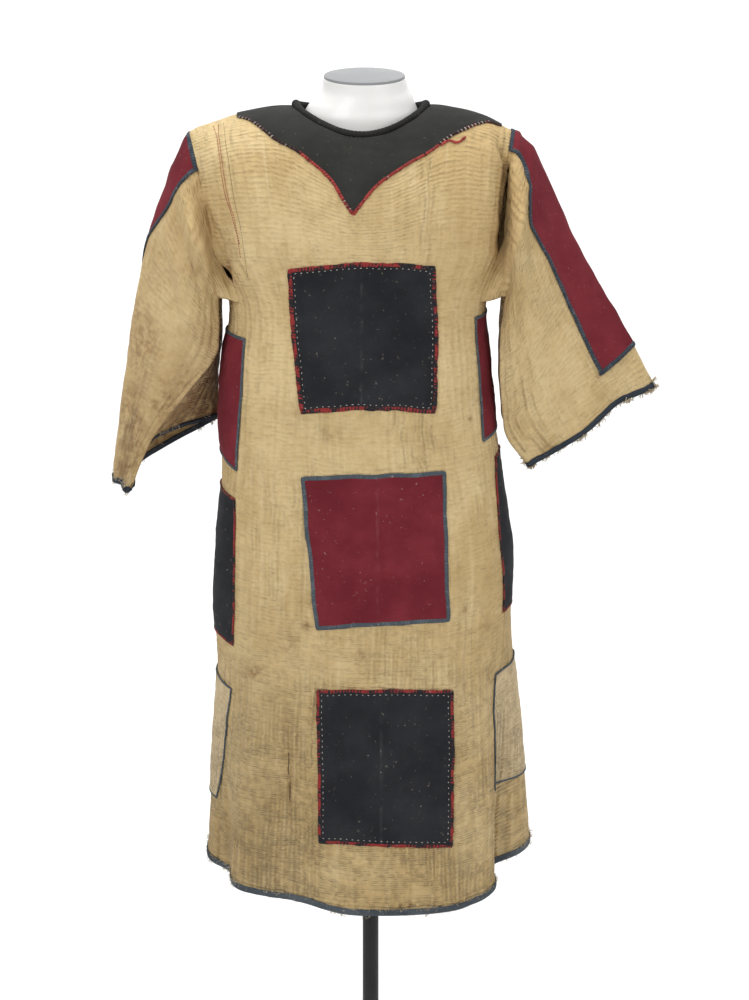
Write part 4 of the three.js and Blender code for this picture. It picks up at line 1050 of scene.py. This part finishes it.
def on_shoulder(row):
    """A sewn row through a few marks, laid on the front of the left shoulder."""
    marks = np.array(row, float)
    reach = np.concatenate([[0], np.cumsum(np.linalg.norm(np.diff(marks, axis=0), axis=1))])
    steps = np.linspace(0, reach[-1], int(reach[-1] / 2.5))
    line = [np.interp(steps, reach, marks[:, k]) for k in (0, 1)]
    apart = (shoulder[..., 0][..., None] - line[0]) ** 2 + (shoulder[..., 2][..., None] - line[1]) ** 2
    near = apart.reshape(-1, len(steps)).argmin(0)
    places, outs = shoulder.reshape(-1, 3)[near], shoulder_out.reshape(-1, 3)[near]
    for _ in range(3):
        places[1:-1] = (places[:-2] + places[1:-1] * 2 + places[2:]) / 4
    return places, outs, False


red_thread = thread_finish("red thread", (0.36, 0.10, 0.06), (0.24, 0.06, 0.04))
dark_thread = thread_finish("dark thread", (0.10, 0.07, 0.04), (0.05, 0.035, 0.025))
for word, thread, wide in (("red", red_thread, 0.0011), ("dark", dark_thread, 0.0006)):
    rows = [on_shoulder(row) for row in SHOULDER_ROWS[word]]
    seam = sewn_mesh(f"shoulder_{word}_stitches", running_stitch, rows,
                     {"Spacing": 0.0034, "Stitch": 0.0034, "Thread": wide, "Seed": 12}, thread)
    finish_piece(seam, thread)

# ------------------------------------------------------------------ torn edge and loose piping
# Low on the left of the front a short tear has a raised dark edge, laid on the quilted cotton. At the
# right shoulder an end of the yoke's red piping has come loose and lies free on the cloth.
tear_z = np.linspace(SLIT["low"] - 4, SLIT["high"] + 6, 40)
tear_x = SLIT["x"] - 0.04 * (tear_z - SLIT["low"]) + 0.8 * np.sin(tear_z / 6)
tear_line, tear_out = on_body(tear_x[None, :], tear_z[None, :], -1, QUILT / 2 + 0.1)
tear = edging("front_tear_edge", tear_line[0], tear_out[0], 1.5, 0.9, seed=8, uneven=0.35)
finish_piece(tear, dark_thread)
# x, z of the loose piping
LOOSE_END = [(91, 1340), (98, 1345), (104, 1346), (111, 1343), (117, 1345), (124, 1350)]
loose_reach = np.linspace(0, len(LOOSE_END) - 1, 40)
loose_x, loose_z = (np.interp(loose_reach, range(len(LOOSE_END)), [p[k] for p in LOOSE_END]) for k in (0, 1))
right_shoulder = panel_point(np.linspace(0.4, 0.95, 140)[:, None], np.linspace(1.2, 1.95, 200)[None, :], -1)
right_out = facing(right_shoulder)
apart = (right_shoulder[..., 0][..., None] - loose_x) ** 2 + (right_shoulder[..., 2][..., None]
                                                              - loose_z) ** 2
near = apart.reshape(-1, len(loose_x)).argmin(0)
loose_line = (right_shoulder + right_out
              * (body_rise(right_shoulder) + QUILT / 2 + 1.4)[..., None]).reshape(-1, 3)[near]
for _ in range(4):
    loose_line[1:-1] = (loose_line[:-2] + loose_line[1:-1] * 2 + loose_line[2:]) / 4
loose = edging("yoke_loose_piping", loose_line, right_out.reshape(-1, 3)[near], 3.6, 1.6, seed=9, uneven=0.2)
red_strip = twisted_cord("loose red piping", (0.36, 0.045, 0.038), (0.20, 0.02, 0.02), 0.3, flecks=0.3)
finish_piece(loose, red_strip)

# ------------------------------------------------------------------ side patches
# Three smaller patches wrap round each side, over the gore's seams and a finger's width onto the
# panels: maroon under the arm, navy at the hip and beige above the hem, each with its own edging.
# z of the foot and head at the front edge, x of the front edge there, and the rise round the side
SIDE_PATCHES = {
    "left": {
        "upper": {"low": 896, "high": 1085, "x": (-175, -164), "rise": (38, 8), "cloth": "maroon",
                  "edge": "slate"},
        "middle": {"low": 668, "high": 862, "x": (-181, -178), "rise": (24, 24), "cloth": "navy",
                   "edge": "mottled"},
        "lower": {"low": 443, "high": 606, "x": (-210, -185), "rise": (24, 24), "cloth": "beige",
                  "edge": "slate"},
    },
    "right": {
        "upper": {"low": 940, "high": 1110, "x": (149, 136), "rise": (24, 8), "cloth": "maroon",
                  "edge": "slate"},
        "middle": {"low": 702, "high": 908, "x": (177, 166), "rise": (24, 24), "cloth": "navy",
                   "edge": "mottled"},
        "lower": {"low": 470, "high": 625, "x": (175, 171), "rise": (24, 24), "cloth": "beige",
                  "edge": "slate"},
    },
}
beige_cotton = quilted_cotton("beige cotton", 9.0, 0.08, 0.18)
CLOTHS["beige"] = (beige_cotton, "beige_cloth")
EDGE_WIDTHS = {"maroon": 4.4, "navy": 3.4, "beige": 2.6}
for hand, rows in SIDE_PATCHES.items():
    run = -1 if hand == "left" else 1
    for place, patch in rows.items():
        up = np.linspace(0, 1, 44)[None, :]
        round_side = np.linspace(0, 1, 60)[::run, None]
        front_z = patch["low"] + (patch["high"] - patch["low"]) * up
        front_x = patch["x"][0] + (patch["x"][1] - patch["x"][0]) * up
        front_angle = angle_at(front_x, front_z, -1)
        back_angle = angle_at(front_x, front_z, 1) - (360 if hand == "left" else 0)
        angle = front_angle + (back_angle - front_angle) * round_side
        rise = (patch["rise"][0] * (1 - up) + patch["rise"][1] * up) * np.cos(np.radians(angle)) ** 4
        z = front_z + rise
        base = body_point(angle, z)
        normals = facing(base)
        away = np.minimum(np.minimum(round_side, 1 - round_side) * 90, np.minimum(up, 1 - up) * 170)
        puff = 0.4 * (1 + slow_waves(base, 40, 61)) * ease(away, 5, 18)
        lift = body_rise(base) + QUILT / 2 + 0.7 + TRIM / 2 + puff
        surface = base + normals * lift[..., None]
        piece, cut = cloth_piece(f"patch_side_{hand}_{place}_cloth", surface, TRIM)
        cloth, edge = CLOTHS[patch["cloth"]], EDGES[patch["edge"]]
        finish_piece(piece, cloth[0], [f"patch_side_{hand}_{place}"])
        rim = around(surface)
        rim_out = around(normals)
        cord = edging(f"patch_side_{hand}_{place}_edging", rim + rim_out * 0.3, rim_out,
                      EDGE_WIDTHS[patch["cloth"]], 2.0, closed=True,
                       seed=21)
        finish_piece(cord, edge[0])

# ------------------------------------------------------------------ sleeve bands
# A strip of maroon cotton runs down the outer side of each sleeve from near the shoulder. The right
# one comes round to the front; only the edge of the left one shows there. Slate edging holds both.
BAND_EDGE = {  # where the front edge of each band runs
    "left": {"z": [893, 1040, 1125, 1204, 1224, 1255, 1287, 1303, 1314, 1360],
             "x": [-350, -335, -325, -297, -287, -267, -250, -236, -224, -214]},
    "right": {"z": [1041, 1152, 1193, 1219, 1239, 1285, 1309, 1325, 1340, 1360],
              "x": [304, 250, 230, 217, 209, 207, 202, 191, 180, 182]},
}


def band_front(hand, at):
    """The ring column of a band's front edge at each row of the sleeve."""
    ring = np.linspace(0, 9, 200)
    places = sleeve_point(hand, ring[None, :], at[:, None])
    past = reading(BAND_EDGE[hand], "x", places[..., 2]) - places[..., 0]
    if hand == "right":
        return np.clip(first_past(past) * 9, 0.8, 6.5)
    return np.clip(first_past(-past) * 9, 0.3, 6.5) - 1.0 * ease(at, 1.9, 2.5)


for hand, foot in (("left", 5.0), ("right", 5.15)):
    at = np.linspace(0.05, foot, 96)
    front_edge = band_front(hand, at)
    rear = -6.0 if hand == "left" else -3.0
    share = np.linspace(0, 1, 48)[:, None]
    ring = rear + (front_edge[None, :] - rear) * share
    run = -1 if hand == "left" else 1
    base, normals = sleeve_surface(hand, ring[::run], np.broadcast_to(at[None, :], ring.shape))
    away = np.minimum(share, 1 - share)[::run] * 90
    puff = 0.5 * (1 + slow_waves(base, 40, 66)) * ease(away, 4, 16)
    surface = base + normals * (QUILT / 2 + 0.6 + TRIM / 2 + puff)[..., None]
    piece, cut = cloth_piece(f"sleeve_band_{hand}_cloth", surface, TRIM)
    finish_piece(piece, maroon_cotton, [f"sleeve_band_{hand}"])
    rim = around(surface)
    rim_out = around(normals)
    cord = edging(f"sleeve_band_{hand}_edging", rim + rim_out * 0.3, rim_out, 6.6, 2.4, closed=True, seed=33)
    finish_piece(cord, dark_cord)

# ------------------------------------------------------------------ hem and cuff bindings
# A strip of slate cotton is folded over the raw edge of the skirt, and a darker one over each cuff.
# Both are worn through in places, where tufts of the padding and loose threads stand out.
FOLD = {"high": 6.0, "near": 1.9, "thick": 0.9}


def folded_binding(name, loop, high, seed):
    """A strip folded over a closed edge: the loop is the edge and the rows of cloth inside it."""
    edge, inside = loop[:, 0], loop[:, 4]
    along = np.roll(edge, -1, 0) - np.roll(edge, 1, 0)
    along /= np.linalg.norm(along, axis=1, keepdims=True)
    inward = inside - edge
    inward -= (inward * along).sum(1, keepdims=True) * along
    inward /= np.linalg.norm(inward, axis=1, keepdims=True)
    out = np.cross(along, inward)
    near, far = FOLD["near"], FOLD["near"] + FOLD["thick"]
    bend = np.radians(np.linspace(0, 180, 7))
    height = high * (1 + 0.1 * slow_waves(edge, 14, seed, 8))
    outer = [(far, 1.0), (far * 1.02, 0.5)] + [(far * math.cos(a), -0.9 - far * math.sin(a) * 0.8)
                                               for a in bend]
    outer += [(-far * 1.02, 0.5), (-far, 1.0)]
    inner = [(-near, 1.0), (-near, 0.3)] + [(-near * math.cos(a), -0.7 - near * math.sin(a) * 0.7)
                                            for a in bend]
    inner += [(near, 0.3), (near, 1.0)]
    section = outer + inner
    puff = 1 + 0.1 * slow_waves(edge, 11, seed + 1, 8)
    rings = []
    for wide, up in section:
        rise = height if up == 1.0 else (height * up if up > 0 else np.full(len(edge), up))
        rings.append(edge + out * (wide * puff)[:, None] + inward * rise[:, None])
    points = np.stack(rings, 1)
    count, sides = points.shape[:2]
    i, k = np.meshgrid(np.arange(count), np.arange(sides), indexing="ij")
    at = lambda a, b: (a % count) * sides + b % sides
    faces = np.stack([at(i, k), at(i, k + 1), at(i + 1, k + 1), at(i + 1, k)], -1).reshape(-1, 4)
    length = loop_metres(edge)
    girth = np.concatenate([[0], np.cumsum(np.linalg.norm(np.diff(points[0], axis=0), axis=1)), [0]]) / 1000
    girth[-1] = girth[-2] + 0.001
    u = length[np.stack([i, i, i + 1, i + 1], -1).reshape(-1)]
    v = girth[np.stack([k, k + 1, k + 1, k], -1).reshape(-1)]
    mesh = bpy.data.meshes.new(name)
    mesh.from_pydata((points.reshape(-1, 3) / 1000).tolist(), [], faces.tolist())
    measure_strip(mesh, u, v)
    piece = set_out(name, mesh)
    stitch_line = edge + out * ((far + 0.25) * puff)[:, None] + inward * (high * 0.62)
    return piece, (stitch_line, out, True), (edge, out, inward)


def strip_cut(piece, edge):
    """The width, length and area in metres of the strip that was folded over an edge."""
    area = sum(face.area for face in piece.data.polygons) / 2
    length = np.linalg.norm(np.roll(edge, -1, 0) - edge, axis=1).sum() / 1000
    return float(area / length), float(length), float(area)


slate_cotton = dyed_cotton("slate cotton", (0.050, 0.060, 0.070), (0.105, 0.122, 0.136), 0.9, 0.8)
midnight_cotton = dyed_cotton("dark blue cotton", (0.024, 0.030, 0.040), (0.050, 0.060, 0.074), 0.9, 0.8)
whole_hem = np.concatenate([hem_loop[name]
                            for name in ("front_panel", "gore_right", "back_panel", "gore_left")])
hem, hem_stitch_line, hem_edge = folded_binding("hem_binding_cloth", whole_hem, FOLD["high"], 41)
finish_piece(hem, slate_cotton, ["hem_binding"])
strip_cut(hem, hem_edge[0])
binding_lines, binding_edges = [hem_stitch_line], [("hem", hem_edge)]
for hand in ("left", "right"):
    cuff, line, edge = folded_binding(f"cuff_binding_{hand}_cloth", cuff_loop[hand], 5.2, 43)
    finish_piece(cuff, midnight_cotton, [f"cuff_binding_{hand}"])
    strip_cut(cuff, edge[0])
    binding_lines.append(line)
    binding_edges.append((hand, edge))


def thread_net():
    """Loose threads: thin curved ends of yarn that stand on points, each bent and turned its own way."""
    tree, given = sewing_net("loose threads", ("Length", "Thickness", "Spread"))
    start = given["Geometry"]
    bend = start.node("GeometryNodeCurveQuadraticBezier", None,
                      {"Resolution": 4, "Start": (0, 0, -0.1), "Middle": (0, 0, 0.65),
                       "End": (0.5, 0.1, 0.85)})
    yarn = start.node("GeometryNodeCurvePrimitiveCircle", None,
                      {"Resolution": 3, "Radius": given["Thickness"]})
    strand = start.node("GeometryNodeCurveToMesh", None,
                        {"Curve": bend, "Profile Curve": yarn, "Fill Caps": True})
    out = start.node("GeometryNodeInputNamedAttribute", {"data_type": "FLOAT_VECTOR"}, {"Name": "out"})
    stand = start.node("FunctionNodeAlignRotationToVector", {"axis": "Z"}, {"Vector": out})
    low = start.node("ShaderNodeCombineXYZ", None,
                     {0: given["Spread"] * -1, 1: given["Spread"] * -1, 2: -3.14})
    high = start.node("ShaderNodeCombineXYZ", None, {0: given["Spread"], 1: given["Spread"], 2: 3.14})
    sway = start.node("FunctionNodeRandomValue", {"data_type": "FLOAT_VECTOR"},
                      {0: low, 1: high, "Seed": given["Seed"]})
    stand = start.node("FunctionNodeRotateRotation", {"rotation_space": "LOCAL"}, {0: stand, 1: sway})
    vary = start.node("FunctionNodeRandomValue", {"data_type": "FLOAT"},
                      {2: 0.35, 3: 1.0, "Seed": given["Seed"] + 1}, 1)
    size = vary * given["Length"]
    return sewn_copies(tree, given, start, strand, stand, size)


loose_threads = thread_net()
slate_thread = thread_finish("slate thread", (0.16, 0.18, 0.20), (0.05, 0.06, 0.08))
beige_thread = thread_finish("beige cotton fluff", (0.62, 0.54, 0.40), (0.42, 0.34, 0.22))
binding_stitches = sewn_mesh("binding_stitches", running_stitch, binding_lines,
                             {"Spacing": 0.0075, "Stitch": 0.0028, "Thread": 0.0007, "Seed": 9}, slate_thread)
finish_piece(binding_stitches, slate_thread)
random = np.random.default_rng(17)
tufts = {"hem": [], "left": [], "right": []}
for name, (edge, out, inward) in binding_edges:
    clumps = {"hem": 280, "left": 50, "right": 130}[name]
    per_clump = {"hem": 8, "left": 9, "right": 14}[name]
    for clump in random.integers(0, len(edge), clumps):
        side = random.choice([-1, 1], p=[0.25, 0.75])
        up = random.choice([-0.4, 1.0, 1.05], p=[0.75, 0.15, 0.1] if name == "right" else [0.35, 0.4, 0.25])
        for _ in range(per_clump):
            k = (clump + random.integers(-1, 2)) % len(edge)
            place = edge[k] + out[k] * side * (2.4 if up > 0 else 1.5) + inward[k] * FOLD["high"] * up
            place = place + random.normal(size=3) * 0.5
            way = out[k] * side * 0.8 - inward[k] * (0.9 if up < 0 else -0.1) + random.normal(size=3) * 0.35
            tufts[name].append((place, way / np.linalg.norm(way)))


def fluff(name, ends, values, material):
    places, ways = [place for place, _ in ends], [way for _, way in ends]
    piece = sewn_mesh(name, loose_threads, [([place], [way], False) for place, way in zip(places, ways)],
                      values, material)
    finish_piece(piece, material)
    return piece


for name, long, thick in (("hem", 0.0054, 0.045), ("left", 0.0062, 0.06), ("right", 0.0075, 0.085)):
    values = {"Length": long, "Thickness": thick, "Spread": 0.9, "Seed": 5}
    fluff(f"{name}_tufts", tufts[name], values, beige_thread)

# ------------------------------------------------------------------ collar
# The neckline is finished with a strip of black cotton rolled into a thick cord, ribbed by the
# stitches that pull it in. It stands on the edge of the neckline all the way round.
ROLL = {"radius": 5.6, "front": 4.5, "stand": 1.4, "rib": 5.2}
neck_from = 2 * (SHOULDER["neck_left"] - SHOULDER["left"]) / (SHOULDER["right"] - SHOULDER["left"]) - 1
neck_to = 2 * (SHOULDER["neck_right"] - SHOULDER["left"]) / (SHOULDER["right"] - SHOULDER["left"]) - 1
sweep = (1 - np.cos(np.linspace(0, math.pi, 180))) / 2
opening = []
for side, run in ((-1, 1), (1, -1)):
    across = (neck_from + (neck_to - neck_from) * sweep)[::run]
    band = panel_point(across[:, None], np.linspace(1.9, 2, 4)[None, :], side)
    opening.append((band[:-1, -1], facing(band)[:-1, -1]))
rim, rim_out = np.concatenate([part[0] for part in opening]), np.concatenate([part[1] for part in opening])
for _ in range(30):
    rim_out = (rim_out + np.roll(rim_out, 1, 0) + np.roll(rim_out, -1, 0)) / 3
along = np.roll(rim, -1, 0) - np.roll(rim, 1, 0)
across = np.cross(rim_out, along)
across /= np.maximum(np.linalg.norm(across, axis=1, keepdims=True), 1e-9)
for _ in range(12):
    across = (across + np.roll(across, 1, 0) + np.roll(across, -1, 0)) / 3


def roll_thickness(points):
    return ROLL["radius"] + (ROLL["front"] - ROLL["radius"]) * ease(-points[:, 1:2], 4, 34)


middle = rim + across * (roll_thickness(rim) + ROLL["stand"]) + rim_out * 1.2
for _ in range(6):
    middle = (middle + np.roll(middle, 1, 0) + np.roll(middle, -1, 0)) / 3
step = np.linalg.norm(np.diff(np.concatenate([middle, middle[:1]]), axis=0), axis=1)
length = np.concatenate([[0], np.cumsum(step)])
stops = np.linspace(0, length[-1], 900, endpoint=False)
middle = np.stack([np.interp(stops, length, np.append(middle[:, k], middle[0, k])) for k in range(3)], 1)
outs = np.stack([np.interp(stops, length, np.append(rim_out[:, k], rim_out[0, k])) for k in range(3)], 1)
outs /= np.linalg.norm(outs, axis=1, keepdims=True)


def rolled_collar():
    along = np.roll(middle, -1, 0) - np.roll(middle, 1, 0)
    along /= np.linalg.norm(along, axis=1, keepdims=True)
    out = outs - (outs * along).sum(1, keepdims=True) * along
    out /= np.linalg.norm(out, axis=1, keepdims=True)
    side = np.cross(out, along)
    turn = np.linspace(0, 2 * math.pi, 20, endpoint=False)
    phase = stops[:, None] / ROLL["rib"] * 2 * math.pi + turn[None, :] * 0.6 + slow_waves(middle, 25,
                                                                                          3)[:, None] * 0.9
    thick = roll_thickness(middle) * (1 + 0.03 * slow_waves(middle, 20, 4)[:, None])
    radius = thick - 0.6 * np.maximum(0, np.cos(phase)) ** 5
    sideways, outwards = (np.cos(turn) * radius)[..., None], (np.sin(turn) * radius)[..., None]
    points = middle[:, None] + side[:, None] * sideways + out[:, None] * outwards
    count, sides = points.shape[:2]
    i, k = np.meshgrid(np.arange(count), np.arange(sides), indexing="ij")
    at = lambda a, b: (a % count) * sides + b % sides
    faces = np.stack([at(i, k), at(i + 1, k), at(i + 1, k + 1), at(i, k + 1)], -1).reshape(-1, 4)
    mesh = bpy.data.meshes.new("collar_roll_cloth")
    mesh.from_pydata((points.reshape(-1, 3) / 1000).tolist(), [], faces.tolist())
    u = np.stack([k, k, k + 1, k + 1], -1).reshape(-1) * (2 * math.pi * ROLL["radius"] / sides / 1000)
    v = np.stack([i, i + 1, i + 1, i], -1).reshape(-1) * (length[-1] / count / 1000)
    measure_strip(mesh, u, v)
    return set_out("collar_roll_cloth", mesh)


collar = rolled_collar()
finish_piece(collar, dyed_cotton("black collar cotton", (0.016, 0.016, 0.015), (0.028, 0.028, 0.025), 0.78,
                                 0.15),
             ["collar_roll"])

# ------------------------------------------------------------------ dress form
# A limbless white dress form fills the tunic's chest, and its neck stands out of the collar with a
# smooth satin finish. A grey disc closes the neck, tilted a little down towards the front.
NECK = {
    "z": [1330, 1362, 1378, 1390, 1401, 1412, 1426], "x": [-12, -12, -12, -11, -8, -7, -8],
    "half": [74, 76, 76, 71, 64, 57, 54], "front": [57, 57, 57, 55, 54, 53, 53],
    "back": [41, 41, 42, 44, 48, 52, 53], "slope": [0, 0.04, 0.08, 0.1, 0.13, 0.15, 0.157],
}


def turned_piece(name, rings):
    """A closed solid through rings of points that run upwards."""
    rings = np.asarray(rings)
    count, sides = rings.shape[:2]
    points = rings.reshape(-1, 3).tolist()
    i, k = np.meshgrid(np.arange(count - 1), np.arange(sides), indexing="ij")
    at = lambda a, b: a * sides + b % sides
    faces = np.stack([at(i, k), at(i, k + 1), at(i + 1, k + 1), at(i + 1, k)], -1).reshape(-1, 4).tolist()
    for ring, flip in ((0, True), (count - 1, False)):
        centre = len(points)
        points.append(rings[ring].mean(0).tolist())
        for k in range(sides):
            a, b = ring * sides + k, ring * sides + (k + 1) % sides
            faces.append([centre, b, a] if flip else [centre, a, b])
    mesh = bpy.data.meshes.new(name)
    mesh.from_pydata((np.array(points) / 1000).tolist(), [], faces)
    mesh.polygons.foreach_set("use_smooth", np.ones(len(mesh.polygons), bool))
    mesh.set_sharp_from_angle(angle=math.radians(35))
    return set_out(name, mesh)


def oval(x, z, half, front, back, slope=0.0, count=128):
    turn = np.linspace(0, 2 * math.pi, count, endpoint=False)
    y = np.where(np.sin(turn) < 0, front, back) * np.sin(turn)
    return np.stack([x + half * np.cos(turn), y, z + slope * y], -1)


def shell_paint(name, colour, shade, roughness, coat=0.0, grain=900.0, depth=0.0002):
    """A moulded and painted surface: nearly even, with a faint mottle and fine grain."""
    finish = Finish(name, roughness, coat=coat)
    mottle = finish.place.cloud(22, 4)
    scuffs = finish.place.cloud(60, 5, 0.65).between(0.6, 0.85)
    colour = (mottle.between(0.3, 0.7) * 0.6 + scuffs * 0.4).blend(colour, shade)
    return finish.show(colour, finish.place.cloud(grain, 2), depth, mottle * 0.1 + (roughness - 0.05))


def neck_ring(level, rise=0.0, shrink=0.0):
    x, half, front, back, slope = (float(reading(NECK, key, level))
                                   for key in ("x", "half", "front", "back", "slope"))
    return oval(x, level + rise, half - shrink, front - shrink, back - shrink, slope)


crown = NECK["z"][-1] - 1
neck_rings = [neck_ring(level) for level in np.linspace(1340, crown, 40)]
neck_rings += [neck_ring(crown, 0.2, 0.25), neck_ring(crown, 0.4, 0.9)]
neck = turned_piece("form_neck_shell", neck_rings)
white_satin = shell_paint("white satin shell", (0.90, 0.89, 0.87), (0.86, 0.85, 0.83), 0.34, coat=0.25)
finish_piece(neck, white_satin, ["form_neck"])
cap_rings = [neck_ring(crown, up, cut) for up,
             cut in ((0.5, 1.2), (0.8, 0.8), (3.3, 0.8), (3.8, 1.1), (4.1, 2.2))]
cap = turned_piece("form_neck_cap_disc", cap_rings)
grey_paint = shell_paint("grey cap paint", (0.30, 0.305, 0.31), (0.25, 0.255, 0.26), 0.5)
finish_piece(cap, grey_paint, ["form_neck_cap"])
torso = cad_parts["form_torso"]
torso.data.materials.clear()
torso.data.materials.append(shell_paint("white torso shell", (0.76, 0.75, 0.72), (0.68, 0.67, 0.64), 0.5))

# ------------------------------------------------------------------ stand
# A charcoal steel pole carries the form from a round weighted foot. A turned collar holds it to
# the foot, and all three are powder coated.
POLE, FOOT_RADIUS, FLANGE_RADIUS = 11, 175, 26
powder_coat = shell_paint("charcoal powder coat", (0.018, 0.018, 0.019), (0.030, 0.030, 0.031), 0.45,
                          grain=1600.0,
                          depth=0.00025)
round_ring = lambda radius, z: oval(0, z, radius, radius, radius)
pole = turned_piece("stand_pole_tube", [round_ring(r, z) for r, z in
                    ((POLE - 0.5, 12.4), (POLE, 13), (POLE, 300), (POLE, 560), (POLE, 799),
                     (POLE - 0.5, 799.6))])
finish_piece(pole, powder_coat, ["stand_pole"])


def bored_ring(name, profile):
    """A turned ring from its closed profile of radius and height, up the outside and down the inside."""
    turn = np.linspace(0, 2 * math.pi, 96, endpoint=False)
    points = np.array([[(r * math.cos(a), r * math.sin(a), z) for r, z in profile] for a in turn])
    count, sides = points.shape[:2]
    i, k = np.meshgrid(np.arange(count), np.arange(sides), indexing="ij")
    at = lambda a, b: (a % count) * sides + b % sides
    faces = np.stack([at(i, k), at(i + 1, k), at(i + 1, k + 1), at(i, k + 1)], -1).reshape(-1, 4).tolist()
    mesh = bpy.data.meshes.new(name)
    mesh.from_pydata((points.reshape(-1, 3) / 1000).tolist(), [], faces)
    mesh.polygons.foreach_set("use_smooth", np.ones(len(mesh.polygons), bool))
    mesh.set_sharp_from_angle(angle=math.radians(35))
    return set_out(name, mesh)


flange = bored_ring("stand_flange_ring",
                    [(FLANGE_RADIUS, 12.4), (FLANGE_RADIUS, 16), (FLANGE_RADIUS - 1.5, 18),
                                          (18, 22), (16, 30), (15, 32), (11.4, 32), (11.4, 12.4)])
finish_piece(flange, powder_coat, ["stand_flange"])
foot = turned_piece("stand_foot_disc", [round_ring(r, z) for r, z in (
    (FOOT_RADIUS - 1, 0), (FOOT_RADIUS, 1), (FOOT_RADIUS, 9), (FOOT_RADIUS - 0.9, 11.1),
    (FOOT_RADIUS - 3, 12))])
finish_piece(foot, powder_coat, ["stand_foot"])

# ------------------------------------------------------------------ studio
# A white floor that runs up into a white wall, large soft lamps above and beside the camera, and a
# long lens above the shoulders looking a little down. From behind, the wall is clear to the camera.


def sweep_wall():
    depth = np.concatenate([np.linspace(-9, 2.2, 12), 2.2 + 1.6 * np.sin(np.linspace(0, math.pi / 2, 16))[1:],
                            [3.8]])
    height = np.concatenate([np.zeros(12), 1.6 * (1 - np.cos(np.linspace(0, math.pi / 2, 16)))[1:], [9.0]])
    places = [(x, y, z) for y, z in zip(depth, height) for x in (-9.0, 9.0)]
    faces = [(2 * k, 2 * k + 1, 2 * k + 3, 2 * k + 2) for k in range(len(depth) - 1)]
    mesh = bpy.data.meshes.new("studio_sweep")
    mesh.from_pydata(places, [], faces)
    mesh.polygons.foreach_set("use_smooth", np.ones(len(faces), bool))
    return set_out("studio_sweep", mesh)


wall = sweep_wall()
paper = bpy.data.materials.new("white paper")
paper.use_nodes = True
nodes, links = paper.node_tree.nodes, paper.node_tree.links
gloss = nodes["Principled BSDF"]
gloss.inputs["Base Color"].default_value = (0.93, 0.93, 0.93, 1)
gloss.inputs["Roughness"].default_value = 1.0
rear = nodes.new("ShaderNodeNewGeometry").outputs["Backfacing"]
seen = nodes.new("ShaderNodeLightPath").outputs["Is Camera Ray"]
both = nodes.new("ShaderNodeMath")
both.operation = "MULTIPLY"
links.new(rear, both.inputs[0])
links.new(seen, both.inputs[1])
clear = nodes.new("ShaderNodeBsdfTransparent")
mixed = nodes.new("ShaderNodeMixShader")
links.new(both.outputs[0], mixed.inputs[0])
links.new(gloss.outputs[0], mixed.inputs[1])
links.new(clear.outputs[0], mixed.inputs[2])
links.new(mixed.outputs[0], nodes["Material Output"].inputs["Surface"])
wall.data.materials.append(paper)
wall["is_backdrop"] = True


def soft_lamp(name, place, target, size, watts):
    lamp = bpy.data.lights.new(name, "AREA")
    lamp.shape, lamp.size, lamp.energy = "SQUARE", size, watts
    holder = set_out(name, lamp)
    away = np.array(place) - np.array(target)
    pitch = math.atan2(math.hypot(away[0], away[1]), away[2])
    holder.location = place
    holder.rotation_euler = (pitch, 0, math.atan2(away[0], -away[1]))


soft_lamp("key", (-2.2, -3.2, 3.2), (0, 0, 0.9), 2.0, 55)
soft_lamp("fill", (2.6, -3.0, 2.0), (0, 0, 0.9), 2.4, 26)
soft_lamp("wall wash", (0, 1.0, 4.5), (0, 3.5, 1.5), 4.0, 150)
world = bpy.data.worlds.new("studio")
world.use_nodes = True
world.node_tree.nodes["Background"].inputs["Color"].default_value = (1, 1, 1, 1)
world.node_tree.nodes["Background"].inputs["Strength"].default_value = 0.5
bpy.context.scene.world = world
bpy.context.scene.view_settings.view_transform = "Standard"

lens = bpy.data.cameras.new("camera")
lens.lens, lens.sensor_width, lens.clip_end = 112, 36, 100
camera = set_out("camera", lens)
camera.location, camera.rotation_euler = (0.0054, -4.136, 1.5893), (math.radians(80), 0, 0)
bpy.context.scene.camera = camera

corners = {"cad": [list(corner) for corner in cad_box], "visual": [list(corner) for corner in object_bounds()]}
